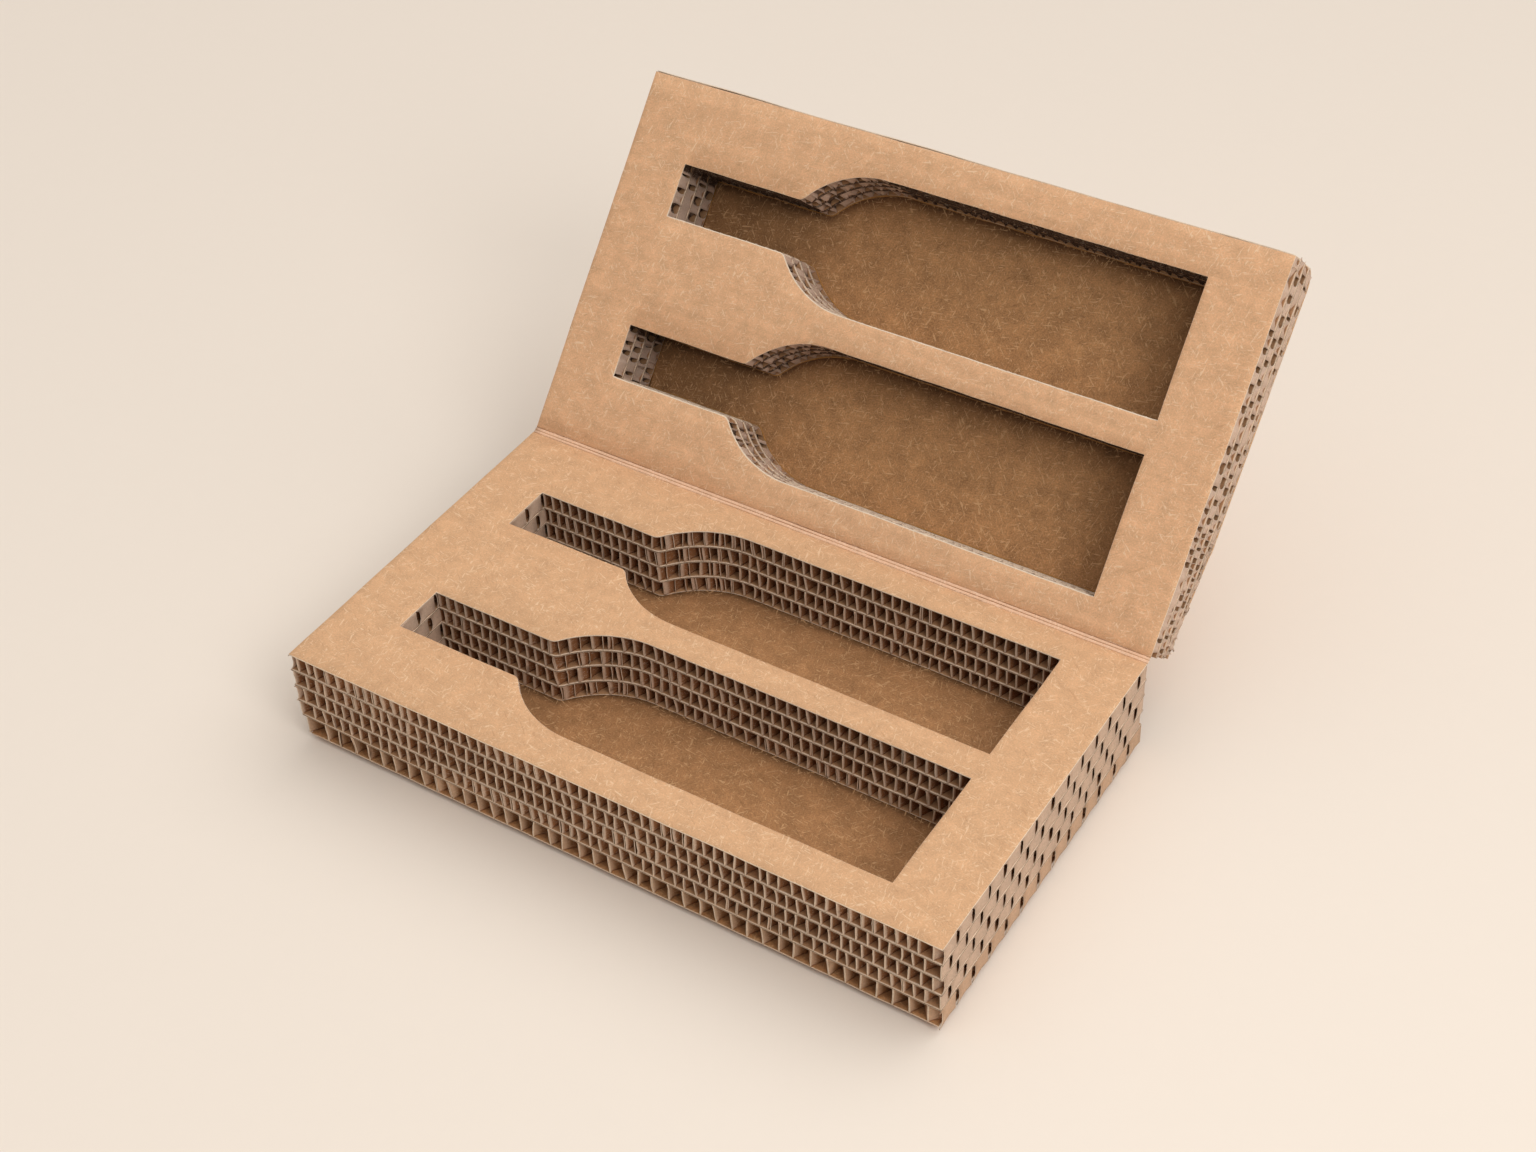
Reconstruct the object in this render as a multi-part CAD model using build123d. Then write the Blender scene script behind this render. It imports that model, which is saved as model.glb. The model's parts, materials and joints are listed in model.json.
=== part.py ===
from build123d import *
import math
import os

# A shipping box for two bottles, cut from glued honeycomb board and opened like a book.
# Each half is a stack of honeycomb panels with two bottle pockets. One kraft sheet faces both
# halves, and its creased strip is the hinge. X runs along the bottles, necks at -X, the hinge
# is at +Y, and the origin is the middle of the face that the base stands on. All in millimetres.

# The board
FINE_LAYERS = 4             # panels that the pockets are cut through, in each half
FINE_CORE = 10.0            # honeycomb height of one such panel
COARSE_CORE = 12.0          # honeycomb height of the panel under the base
BACK_CORE = 2.6             # honeycomb height of the thin panel behind the lid
FACE_SHEET = 0.8            # kraft sheet that faces both halves
LINER = 1.0                 # two glued facings between neighbouring panels
FLOOR_SHEET = 1.0           # facing that the bottles lie on
BOTTOM_SHEET = 0.8          # facing under the base
BACK_SHEET = 0.6            # kraft sheet behind the lid, folded over its top edge
BOTTOM_INSET = 2.0          # how far the coarse panel stops short of the left end

# The pockets, and the board that is left around them
POCKET_LENGTH = 313.0
NECK_LENGTH = 78.0
NECK_WIDTH = 30.8
BODY_WIDTH = 77.4
SHOULDER_RADIUS = 56.0
NECK_CORNER = 5.0           # rounding where the neck meets the shoulder
NECK_MARGIN = 37.5          # from the left end to the necks
FOOT_MARGIN = 39.5          # from the pockets to the right end
HINGE_MARGIN = 19.2         # from the hinge crease to the nearer pocket
POCKET_WEB = 18.9           # between the two pockets
FREE_MARGIN = 23.1          # from the further pocket to the free edge

# The hinge
HINGE_WIDTH = 4.0           # between the two creases, with the halves laid flat
HINGE_RISE = 0.4            # turning axis above the face sheet
HINGE_SPLIT = 0.5           # gap in the strip at the turning axis
LID_SLOPE = 48.2            # how far the lid is swung up from lying flat

# Open cells along the cut edges
FINE_CELL = 6.2
FINE_CELL_DEEP = 5.0
COARSE_CELL = 9.1
COARSE_CELL_DEEP = 7.0
SLIT_PITCH = 16.8           # between neighbouring slits on the end faces
SLIT_WIDE = 1.8
SLIT_DEEP = 2.5

# The lid's worn edges
LID_EDGE_RADIUS = 12.0      # rounding of its top edge, at the back
CRUSH_RISE = 62.0           # crushed corner: up from the hinge
CRUSH_RUN = 34.0            # in from the right end
CRUSH_DEEP = 12.0           # through the thickness

LENGTH = NECK_MARGIN + POCKET_LENGTH + FOOT_MARGIN
DEPTH = HINGE_MARGIN + BODY_WIDTH + POCKET_WEB + BODY_WIDTH + FREE_MARGIN
LEFT = -LENGTH / 2
RIGHT = LENGTH / 2
FRONT = -DEPTH / 2
CREASE = DEPTH / 2
BOTTOM_STACK = BOTTOM_SHEET + COARSE_CORE + FLOOR_SHEET
FINE_STACK = FINE_LAYERS * FINE_CORE + (FINE_LAYERS - 1) * LINER
BASE_HEIGHT = BOTTOM_STACK + FINE_STACK + FACE_SHEET
LID_THICK = FACE_SHEET + FINE_STACK + FLOOR_SHEET + BACK_CORE + BACK_SHEET
AXIS_Y = CREASE + HINGE_WIDTH / 2
AXIS_Z = BASE_HEIGHT + HINGE_RISE
LID_CREASE = CREASE + HINGE_WIDTH
LID_EDGE = LID_CREASE + DEPTH
HINGE_CELL = 2 * FINE_CELL
TONGUE = (HINGE_WIDTH - HINGE_SPLIT) / 2
NECK_END = LEFT + NECK_MARGIN
NECK_ROOT = NECK_END + NECK_LENGTH
SHOULDER_SWEEP = math.acos(1 - (BODY_WIDTH - NECK_WIDTH) / 2 / SHOULDER_RADIUS)
SHOULDER_END = NECK_ROOT + SHOULDER_RADIUS * math.sin(SHOULDER_SWEEP)


def sheet_face(left, right, front, back):
    """A plain rectangle in plan."""
    return Face(Wire.make_polygon([(left, front), (right, front), (right, back), (left, back)]))


def bottle_face(middle):
    """The plan of one pocket: square neck end, neck, round shoulders and body."""
    foot = NECK_END + POCKET_LENGTH
    neck = NECK_WIDTH / 2
    body = BODY_WIDTH / 2

    def shoulder(angle, side):
        out = body - SHOULDER_RADIUS * (1 - math.cos(angle))
        return (SHOULDER_END - SHOULDER_RADIUS * math.sin(angle), middle + side * out)

    def arc(side):
        middle_angle = SHOULDER_SWEEP / 2
        return ThreePointArc(shoulder(0, side), shoulder(middle_angle, side), shoulder(SHOULDER_SWEEP, side))

    low, high = middle - body, middle + body
    throat_low, throat_high = middle - neck, middle + neck
    outline = [
        Line((foot, low), (SHOULDER_END, low)), arc(-1),
        Polyline((NECK_ROOT, throat_low), (NECK_END, throat_low),
                 (NECK_END, throat_high), (NECK_ROOT, throat_high)),
        arc(1), Line((SHOULDER_END, high), (foot, high)), Line((foot, high), (foot, low)),
    ]
    face = make_face(outline)
    corners = [v for v in face.vertices() if abs(v.X - NECK_ROOT) < NECK_CORNER / 10]
    return fillet(corners, NECK_CORNER)


def pockets(crease, towards):
    """Both pockets of one half, counted from its crease."""
    first = crease + towards * (HINGE_MARGIN + BODY_WIDTH / 2)
    return bottle_face(first) + bottle_face(first + towards * (BODY_WIDTH + POCKET_WEB))


def cell_edge(start, stop, edge, inward, cell, deep):
    """Open cells along X: a row of V notches whose ridges lie on the edge."""
    count = max(1, round(abs(stop - start) / cell))
    step = (stop - start) / count
    points = []
    for i in range(count):
        points.append((start + i * step, edge))
        points.append((start + (i + 0.5) * step, edge + inward * deep))
    return points + [(stop, edge)]


def slit_edge(start, stop, edge, inward, shift):
    """Narrow slits along Y, where the cut runs beside the cell walls."""
    way = 1 if stop > start else -1
    count = int(abs(stop - start) // SLIT_PITCH) - 1
    margin = (abs(stop - start) - (count - 0.5) * SLIT_PITCH) / 2
    points = []
    for i in range(count):
        middle = start + way * (margin + (i + shift) * SLIT_PITCH)
        points.append((edge, middle - way * SLIT_WIDE / 2))
        points.append((edge + inward * SLIT_DEEP, middle))
        points.append((edge, middle + way * SLIT_WIDE / 2))
    return points


def core_face(left, right, front, back, cell, deep, shift):
    """The plan of a honeycomb core: slits on its ends, and open cells along its sides."""
    points = cell_edge(left, right, front, 1, cell, deep)
    points += slit_edge(front, back, right, -1, shift)
    points += cell_edge(right, left, back, -1, cell, deep)
    points += slit_edge(back, front, left, 1, 0.5 - shift)
    return Face(Wire.make_polygon(points))


def lid_core_face(left, right, front, back, shift):
    """The plan of a lid core: slits on its ends, open cells at the hinge, plain under the folded sheet."""
    points = cell_edge(left, right, front, 1, HINGE_CELL, FINE_CELL_DEEP)
    points += slit_edge(front, back, right, -1, shift)
    points += [(right, back), (left, back)] + slit_edge(back, front, left, 1, 0.5 - shift)
    return Face(Wire.make_polygon(points))


def layer(face, top, thick):
    """A flat layer of the board that hangs below the height top."""
    return Pos(0, 0, top - thick) * extrude(face, amount=thick, dir=(0, 0, 1))


def pocketed_stack(half, top, make_cores, cut):
    """The panels of one half under its face sheet, and the height that they end at."""
    solids = {}
    for number in range(1, FINE_LAYERS + 1):
        shift = 0.5 * (number % 2)
        for part, plan in make_cores(shift).items():
            solids[f"{half}_core_{number}{part}"] = layer(plan - cut, top, FINE_CORE)
        top -= FINE_CORE
        if number < FINE_LAYERS:
            solids[f"{half}_liner_{number}"] = layer(plain_half(half) - cut, top, LINER)
            top -= LINER
    return solids, top


def plain_half(half):
    """The full plan of one half, with the lid laid flat behind the base."""
    if half == "base":
        return sheet_face(LEFT, RIGHT, FRONT, CREASE)
    return sheet_face(LEFT, RIGHT, LID_CREASE, LID_EDGE - BACK_SHEET)


def make_base():
    """Face sheet, pocketed panels, floor, coarse panel and bottom sheet, from the top down."""
    cut = pockets(CREASE, -1)

    def fine(shift):
        return {"": core_face(LEFT, RIGHT, FRONT, CREASE, FINE_CELL, FINE_CELL_DEEP, shift)}

    cover = sheet_face(LEFT, RIGHT, FRONT, CREASE + TONGUE) - cut
    solids = {"base_face_sheet": layer(cover, BASE_HEIGHT, FACE_SHEET)}
    stack, top = pocketed_stack("base", BASE_HEIGHT - FACE_SHEET, fine, cut)
    solids.update(stack)
    solids["base_floor_sheet"] = layer(plain_half("base"), top, FLOOR_SHEET)
    coarse_left = LEFT + BOTTOM_INSET
    coarse = core_face(coarse_left, RIGHT, FRONT, CREASE, COARSE_CELL, COARSE_CELL_DEEP, 0)
    solids["base_bottom_core"] = layer(coarse, BOTTOM_SHEET + COARSE_CORE, COARSE_CORE)
    bottom = sheet_face(coarse_left, RIGHT, FRONT, CREASE)
    solids["base_bottom_sheet"] = layer(bottom, BOTTOM_SHEET, BOTTOM_SHEET)
    return solids


def lid_section(inset):
    """The lid's section across the hinge, moved in from its back and its top edge by inset."""
    back = BASE_HEIGHT - LID_THICK + inset
    edge = LID_EDGE - inset
    radius = LID_EDGE_RADIUS - inset
    turn = math.sqrt(0.5) * radius
    outline = [
        Polyline((LID_CREASE, back), (LID_CREASE, BASE_HEIGHT), (edge, BASE_HEIGHT), (edge, back + radius)),
        ThreePointArc((edge, back + radius), (edge - radius + turn, back + radius - turn),
                      (edge - radius, back)),
        Line((edge - radius, back), (LID_CREASE, back)),
    ]
    section = Plane.YZ * make_face(outline)
    return Pos(LEFT, 0, 0) * extrude(section, amount=LENGTH, dir=(1, 0, 0))


def crushed_corner():
    """The wedge missing at the lid's back, where its right end meets the hinge."""
    back = BASE_HEIGHT - LID_THICK
    corner = Vector(RIGHT, LID_CREASE, back)
    along, up, through = Vector(-CRUSH_RUN, 0, 0), Vector(0, CRUSH_RISE, 0), Vector(0, 0, CRUSH_DEEP)
    tips = [corner + along, corner + up, corner + through]
    sides = [
        Face(Wire.make_polygon([corner, tips[1], tips[0]])),
        Face(Wire.make_polygon([corner, tips[2], tips[1]])),
        Face(Wire.make_polygon([corner, tips[0], tips[2]])),
        Face(Wire.make_polygon(tips)),
    ]
    return Solid(Shell(sides))


def make_lid():
    """The lid laid flat behind the base, from its face down, then swung up on the hinge.

    Each core is in two nodes that meet at the necks' roots, so that every neck opens on one side.
    """
    cut = pockets(LID_CREASE, 1)
    inside = lid_section(BACK_SHEET)
    crushed = crushed_corner()
    edge = LID_EDGE - BACK_SHEET

    def fine(shift):
        plan = lid_core_face(LEFT, RIGHT, LID_CREASE, edge, shift)
        necks = sheet_face(LEFT, NECK_ROOT, LID_CREASE, edge)
        bodies = sheet_face(NECK_ROOT, RIGHT, LID_CREASE, edge)
        return {"_necks": plan & necks, "_bodies": plan & bodies}

    cover = sheet_face(LEFT, RIGHT, LID_CREASE - TONGUE, edge) - cut
    solids = {"lid_face_sheet": layer(cover, BASE_HEIGHT, FACE_SHEET)}
    stack, top = pocketed_stack("lid", BASE_HEIGHT - FACE_SHEET, fine, cut)
    solids.update(stack)
    solids["lid_floor_sheet"] = layer(plain_half("lid"), top, FLOOR_SHEET)
    solids["lid_back_core"] = layer(plain_half("lid"), top - FLOOR_SHEET, BACK_CORE)
    last = f"lid_core_{FINE_LAYERS}"
    for name in (last + "_necks", last + "_bodies", "lid_floor_sheet", "lid_back_core"):
        solids[name] = (solids[name] & inside) - crushed
    solids["lid_back_sheet"] = lid_section(0) - inside - crushed
    swing = Pos(0, AXIS_Y, AXIS_Z) * Rot(LID_SLOPE, 0, 0) * Pos(0, -AXIS_Y, -AXIS_Z)
    return {name: swing * solid for name, solid in solids.items()}


if __name__ == "__main__":
    os.makedirs("parts", exist_ok=True)
    for name, solid in {**make_base(), **make_lid()}.items():
        export_step(solid, f"parts/{name}.step")
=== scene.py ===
"""Looks of a shipping box for two bottles, cut from honeycomb board and opened like a book."""

import json
import logging
import math
from dataclasses import dataclass, field, replace
from enum import Enum, IntEnum

import bpy
import numpy as np
from mathutils import Matrix, Vector
from numpy.typing import NDArray


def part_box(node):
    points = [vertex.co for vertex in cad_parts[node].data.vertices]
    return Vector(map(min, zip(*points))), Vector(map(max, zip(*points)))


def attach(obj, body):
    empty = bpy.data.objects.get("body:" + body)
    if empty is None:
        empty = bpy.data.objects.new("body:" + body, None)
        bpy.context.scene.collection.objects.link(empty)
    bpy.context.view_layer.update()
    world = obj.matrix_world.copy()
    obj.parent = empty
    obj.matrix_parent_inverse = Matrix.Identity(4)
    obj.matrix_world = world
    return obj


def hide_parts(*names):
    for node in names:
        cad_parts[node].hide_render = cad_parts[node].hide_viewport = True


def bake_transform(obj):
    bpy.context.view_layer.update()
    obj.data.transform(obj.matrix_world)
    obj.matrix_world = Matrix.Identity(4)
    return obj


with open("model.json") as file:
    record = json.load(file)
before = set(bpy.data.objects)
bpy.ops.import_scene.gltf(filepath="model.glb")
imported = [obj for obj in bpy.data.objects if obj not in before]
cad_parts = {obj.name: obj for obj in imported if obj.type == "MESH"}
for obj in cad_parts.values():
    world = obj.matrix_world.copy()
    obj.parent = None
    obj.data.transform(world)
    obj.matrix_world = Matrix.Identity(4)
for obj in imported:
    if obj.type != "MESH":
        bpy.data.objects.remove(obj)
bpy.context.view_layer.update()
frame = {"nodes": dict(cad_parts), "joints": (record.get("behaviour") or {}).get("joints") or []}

Array = NDArray[np.float64]
Index = NDArray[np.int64]
Colour = tuple[int, int, int]

MM = 0.001
PLACE = "sheet_place"
# Point attribute that sets how much painted shade the paper takes there.
SHADE_ATTRIBUTE = "cell_inset"
GROOVE_INSET = 0.2
TOUCH = 0.01
CUT_TOUCH = 0.05
HALVINGS = 20
RIPPLE_WAVES = 6
RIPPLE_SHRINK = 0.72
RIPPLE_GAIN = 1.8
log = logging.getLogger("bottle_box")


class Body(Enum):
    """The two bodies that the hinge joins."""

    BASE = "base"
    LID = "lid"


class Slot(Enum):
    """The record's material slots."""

    FACE = "kraft_face"
    LINER = "kraft_liner"
    FLOOR = "kraft_floor"
    FINE = "honeycomb_fine"
    COARSE = "honeycomb_coarse"


class SeedStep(IntEnum):
    """Steps from a stack's seed to the seeds of its sheets."""

    FACE = 50
    LINER = 60
    FACING = 69
    FLOOR = 70


class EdgeCut(Enum):
    """Profiles of a cut paper edge, as (share of the thickness, inset in mm) from the top down."""

    SINGLE = ((0.0, 0.12), (0.15, 0.0), (0.85, 0.0), (1.0, 0.1))
    DOUBLE = (
        (0.0, 0.6), (0.06, -0.25), (0.28, -0.25), (0.5, 0.5), (0.72, -0.25), (0.94, -0.25), (1.0, 0.6))

    @property
    def grooves(self) -> NDArray[np.bool_]:
        """Which bands of the profile lie in a groove between two papers."""
        inset = np.array(self.value)[:, 1]
        deep = np.maximum(inset[:-1], inset[1:]) > GROOVE_INSET
        deep[[0, -1]] = False
        return deep


def linear(colour: Colour) -> tuple[float, float, float, float]:
    """An sRGB colour of 0 to 255 as the linear colour that a shader socket takes."""
    share = np.asarray(colour, float) / 255.0
    value = np.where(share <= 0.04045, share / 12.92, ((share + 0.055) / 1.055) ** 2.4)
    return (*value.tolist(), 1.0)


def ripple(x: Array, v: Array, wave: float, seed: int) -> Array:
    """Smooth noise in the plane: a few sine waves of random heading and phase, each shorter than the last.

    Args:
        x: First coordinate of each point, in mm.
        v: Second coordinate of each point, in mm.
        wave: The longest wavelength, in mm.
        seed: Picks the headings and phases.

    Returns:
        Values of about -1 to 1, in the shape of x.
    """
    rng = np.random.default_rng(seed)
    heading, phase = rng.uniform(0.0, 2.0 * np.pi, (2, RIPPLE_WAVES))
    length = wave * RIPPLE_SHRINK ** np.arange(RIPPLE_WAVES)
    weight = length / length.sum()
    along = x[..., None] * np.cos(heading) + v[..., None] * np.sin(heading)
    return RIPPLE_GAIN * np.sin(2.0 * np.pi * along / length + phase) @ weight


def stations(cuts: tuple[float, ...], step: Array | float) -> Array:
    """Evenly stepped places that hit every cut, with one more place beyond each end.

    Args:
        cuts: Places that have to be hit, in rising order, in mm.
        step: The spacing aimed at, one for all or one for each span between two cuts, which takes the
            nearest whole count.

    Returns:
        The places in rising order.
    """
    steps = np.broadcast_to(np.asarray(step, float), (len(cuts) - 1,))
    counts = np.maximum(1, np.rint(np.diff(cuts) / steps))
    knots = np.concatenate(([0.0], np.cumsum(counts)))
    number = np.arange(-1, knots[-1] + 2)
    before, after = np.minimum(number, 0.0), np.maximum(number - knots[-1], 0.0)
    return np.interp(number, knots, cuts) + steps[0] * before + steps[-1] * after


def two_runs(first: float, last: float, split: tuple[float, float], counts: tuple[int, int]) -> Array:
    """Places in two even runs, one that stops at a split and one that goes on after it."""
    return np.concatenate([np.linspace(first, split[0], counts[0]), np.linspace(split[1], last, counts[1])])


def grid_quads(columns: int, rows: int) -> Index:
    """Point numbers of every quad of a grid, over columns and rows."""
    number = np.arange(columns * rows).reshape(columns, rows)
    return np.stack([number[:-1, :-1], number[1:, :-1], number[1:, 1:], number[:-1, 1:]], axis=-1)


def boundary(quads: Index, count: int) -> tuple[Index, Index]:
    """Edges that only one quad has, each from its first point to its second."""
    a = quads.ravel()
    b = np.roll(quads, -1, axis=1).ravel()
    lone = ~np.isin(a * count + b, b * count + a)
    return a[lone], b[lone]


def skin_quads(columns: int, rows: int) -> tuple[Index, Index]:
    """Faces of a grid with paper thickness, closed round its four edges.

    Args:
        columns: Points along the first side of the grid.
        rows: Points along its second side.

    Returns:
        Quads over the lower points and then the upper ones, and the finish of each: 0 for both sides of
        the paper and 1 for its edge.
    """
    count = columns * rows
    under = grid_quads(columns, rows).reshape(-1, 4)
    a, b = boundary(under, count)
    wall = np.stack([a, b, b + count, a + count], axis=-1)
    finish = np.concatenate([np.zeros(2 * len(under), int), np.ones(len(wall), int)])
    return np.concatenate([under[:, ::-1], under + count, wall]), finish


@dataclass(frozen=True)
class PocketPlan:
    """Plan of the two pockets of a half: a neck, round shoulders and a body, in mm."""

    neck_end: float = -157.5
    length: float = 313.0
    neck_length: float = 78.0
    neck_half: float = 15.4
    body_half: float = 38.7
    shoulder_radius: float = 56.0
    root_radius: float = 5.0
    middles: tuple[float, float] = (57.9, 154.2)
    step: float = 3.0
    fine_step: float = 1.3
    fine_lead: float = 4.0

    @property
    def foot(self) -> float:
        """Place of the flat end of the body."""
        return self.neck_end + self.length

    @property
    def root(self) -> float:
        """Place where the neck meets the shoulders."""
        return self.neck_end + self.neck_length

    @property
    def sweep(self) -> float:
        """Angle that a shoulder's arc turns through."""
        return math.acos(1.0 - (self.body_half - self.neck_half) / self.shoulder_radius)

    @property
    def tangent(self) -> float:
        """Place where the shoulders run into the body."""
        return self.root + self.shoulder_radius * math.sin(self.sweep)

    def half_width(self, x: Array) -> Array:
        """Half the pocket's width: neck, then a small arc, then the shoulder's arc, then the body.

        Args:
            x: Places along the bottle, in mm.

        Returns:
            Half the width at each place, in mm.
        """
        start = self.root - self.root_radius * math.tan(self.sweep / 2.0)
        stop = start + self.root_radius * math.sin(self.sweep)
        small = self.root_radius
        rise = small - np.sqrt(np.clip(small**2 - (x - start) ** 2, 0.0, None))
        big = self.shoulder_radius
        drop = big - np.sqrt(np.clip(big**2 - (self.tangent - x) ** 2, 0.0, None))
        cases = [x < start, x < stop, x < self.tangent]
        widths = [self.neck_half, self.neck_half + rise, self.body_half - drop]
        return np.select(cases, widths, self.body_half)

    def reach(self, x: Array, v: Array) -> Array:
        """How far a point lies inside a pocket: positive inside, negative in the board around it."""
        ends = np.minimum(x - self.neck_end, self.foot - x)
        sides = [self.half_width(x) - np.abs(v - middle) for middle in self.middles]
        return np.minimum(ends, np.maximum(*sides))

    def v_cuts(self, depth: float) -> tuple[float, ...]:
        """Lines across the half that are cut along the bottles: its edges, bodies and necks."""
        cuts = [0.0, depth]
        for middle in self.middles:
            cuts += [middle + side * half for side in (-1, 1) for half in (self.body_half, self.neck_half)]
        return tuple(sorted(cuts))

    def columns(self, left: float, right: float) -> Array:
        """Places along the bottle for a grid: finer at the shoulders, with one at each end of the pocket."""
        knots = (left, self.neck_end, self.root - self.fine_lead, self.tangent, self.foot, right)
        steps = (self.step, self.step, self.fine_step, self.step, self.step)
        runs = [np.linspace(a, b, 1 + round((b - a) / step)) for a, b, step in zip(knots, knots[1:], steps)]
        return np.unique(np.concatenate(runs))

    def outline(self, middle: float, inset: float) -> Array:
        """Closed line round one pocket, moved into it by inset.

        Args:
            middle: The pocket's middle line, in mm from the crease.
            inset: Distance from the walls, in mm.

        Returns:
            Points (x, v) in order round the pocket.
        """
        x = self.columns(self.neck_end + inset, self.foot - inset)
        half = self.half_width(x) - inset
        there = np.stack([x, middle - half], axis=1)
        back = np.stack([x, middle + half], axis=1)[::-1]
        return np.concatenate([there, back])


@dataclass(frozen=True)
class Half:
    """One half of the box, with its own coordinates: x, v from the crease and d below the inner face."""

    body: Body
    crease: float
    face: float
    towards: int
    axis: tuple[float, float] = (0.0, 0.0)
    swing: float = 0.0

    @property
    def mirrored(self) -> bool:
        """Whether the half's own coordinates are left-handed, so that faces have to be turned round."""
        return self.towards > 0

    def shape(self, local: Array) -> Array:
        """The wear of the half, as a change of its own coordinates: none here."""
        return local

    def turn(self, y: Array, z: Array, angle: Array | float) -> tuple[Array, Array]:
        """Turns points about the hinge's axis by an angle in radians, one for all or one for each."""
        dy, dz = y - self.axis[0], z - self.axis[1]
        cos, sin = np.cos(angle), np.sin(angle)
        return self.axis[0] + cos * dy - sin * dz, self.axis[1] + sin * dy + cos * dz

    def place(self, local: Array) -> Array:
        """Own coordinates in mm as places in the model's frame in metres.

        Args:
            local: Points (x, v, d).

        Returns:
            Points (x, y, z): v runs away from the crease, d runs down, and the half is swung on its hinge.
        """
        worn = self.shape(local)
        y, z = self.turn(self.crease + self.towards * worn[:, 1], self.face - worn[:, 2], self.swing)
        return np.stack([worn[:, 0], y, z], axis=1) * MM

    def extent(self, node: str) -> tuple[Array, Array]:
        """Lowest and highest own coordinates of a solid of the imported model, in mm."""
        mesh = frame["nodes"][node].data
        flat = np.empty(3 * len(mesh.vertices), np.float32)
        mesh.vertices.foreach_get("co", flat)
        x, y, z = flat.reshape(-1, 3).T.astype(float) / MM
        y, z = self.turn(y, z, -self.swing)
        local = np.stack([x, self.towards * (y - self.crease), self.face - z], axis=1)
        return local.min(axis=0), local.max(axis=0)


@dataclass(frozen=True)
class Lid(Half):
    """The lid: its top edge is rounded at the back, and one corner beside the hinge is crushed."""

    right: float = field(kw_only=True)
    depth: float = field(kw_only=True)
    thick: float = field(kw_only=True)
    edge_radius: float = 12.0
    edge_run: float = 30.0
    crush_rise: float = 62.0
    crush_run: float = 34.0
    crush_deep: float = 12.0
    crush_from: float = 20.0
    crush_step: float = 1.5
    crush_rim: float = 0.05
    crumple: float = 1.6
    crumple_waves: tuple[float, float] = (17.0, 13.0)
    crumple_seed: int = 41
    fine_x: tuple[float, float] = (150.0, 152.0)
    fine_v: tuple[float, float] = (66.0, 70.0)

    def crush(self, x: Array, v: Array) -> Array:
        """How far the back is pressed in: a small step at its rim, greatest at the corner, none beyond."""
        share = np.clip(1.0 - v / self.crush_rise - (self.right - x) / self.crush_run, 0.0, 1.0)
        rim = self.crush_step * np.clip(share / self.crush_rim, 0.0, 1.0)
        return rim + (self.crush_deep - self.crush_step) * share

    def give(self, d: Array) -> Array:
        """Share of the crush that each depth takes: none down to crush_from, and all of it at the back."""
        return np.clip((d - self.crush_from) / (self.thick - self.crush_from), 0.0, None)

    def shape(self, local: Array) -> Array:
        """Presses the crushed corner in and rounds the top edge.

        Depths between crush_from and the back are squeezed so that the back moves in by crush, with a
        ripple of crumpled paper beside it. Near the top edge, v is squeezed onto a quarter circle.

        Args:
            local: Points (x, v, d) of the unworn lid.

        Returns:
            The same points of the worn lid.
        """
        x, v, d = local.T
        pressed = self.crush(x, v)
        share = self.give(d)
        bend = self.crumple * pressed / self.crush_deep * share
        x = x + bend * ripple(v, d, self.crumple_waves[0], self.crumple_seed)
        v = v + bend * ripple(d, v, self.crumple_waves[1], self.crumple_seed + 1)
        d = d - pressed * share
        start = self.depth - self.edge_run
        below = np.clip(d - (self.thick - self.edge_radius), 0.0, self.edge_radius)
        inset = self.edge_radius - np.sqrt(self.edge_radius**2 - below**2)
        v = np.where(v > start, start + (v - start) * (1.0 - inset / self.edge_run), v)
        return np.stack([x, v, d], axis=1)


@dataclass(frozen=True)
class LidCover(Lid):
    """The lid for a piece that already has the round top edge, so that only the crush is added."""

    def shape(self, local: Array) -> Array:
        """Presses the crushed corner in and leaves the top edge as it is."""
        x, v, d = local.T
        return np.stack([x, v, d - self.crush(x, v) * self.give(d)], axis=1)


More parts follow.
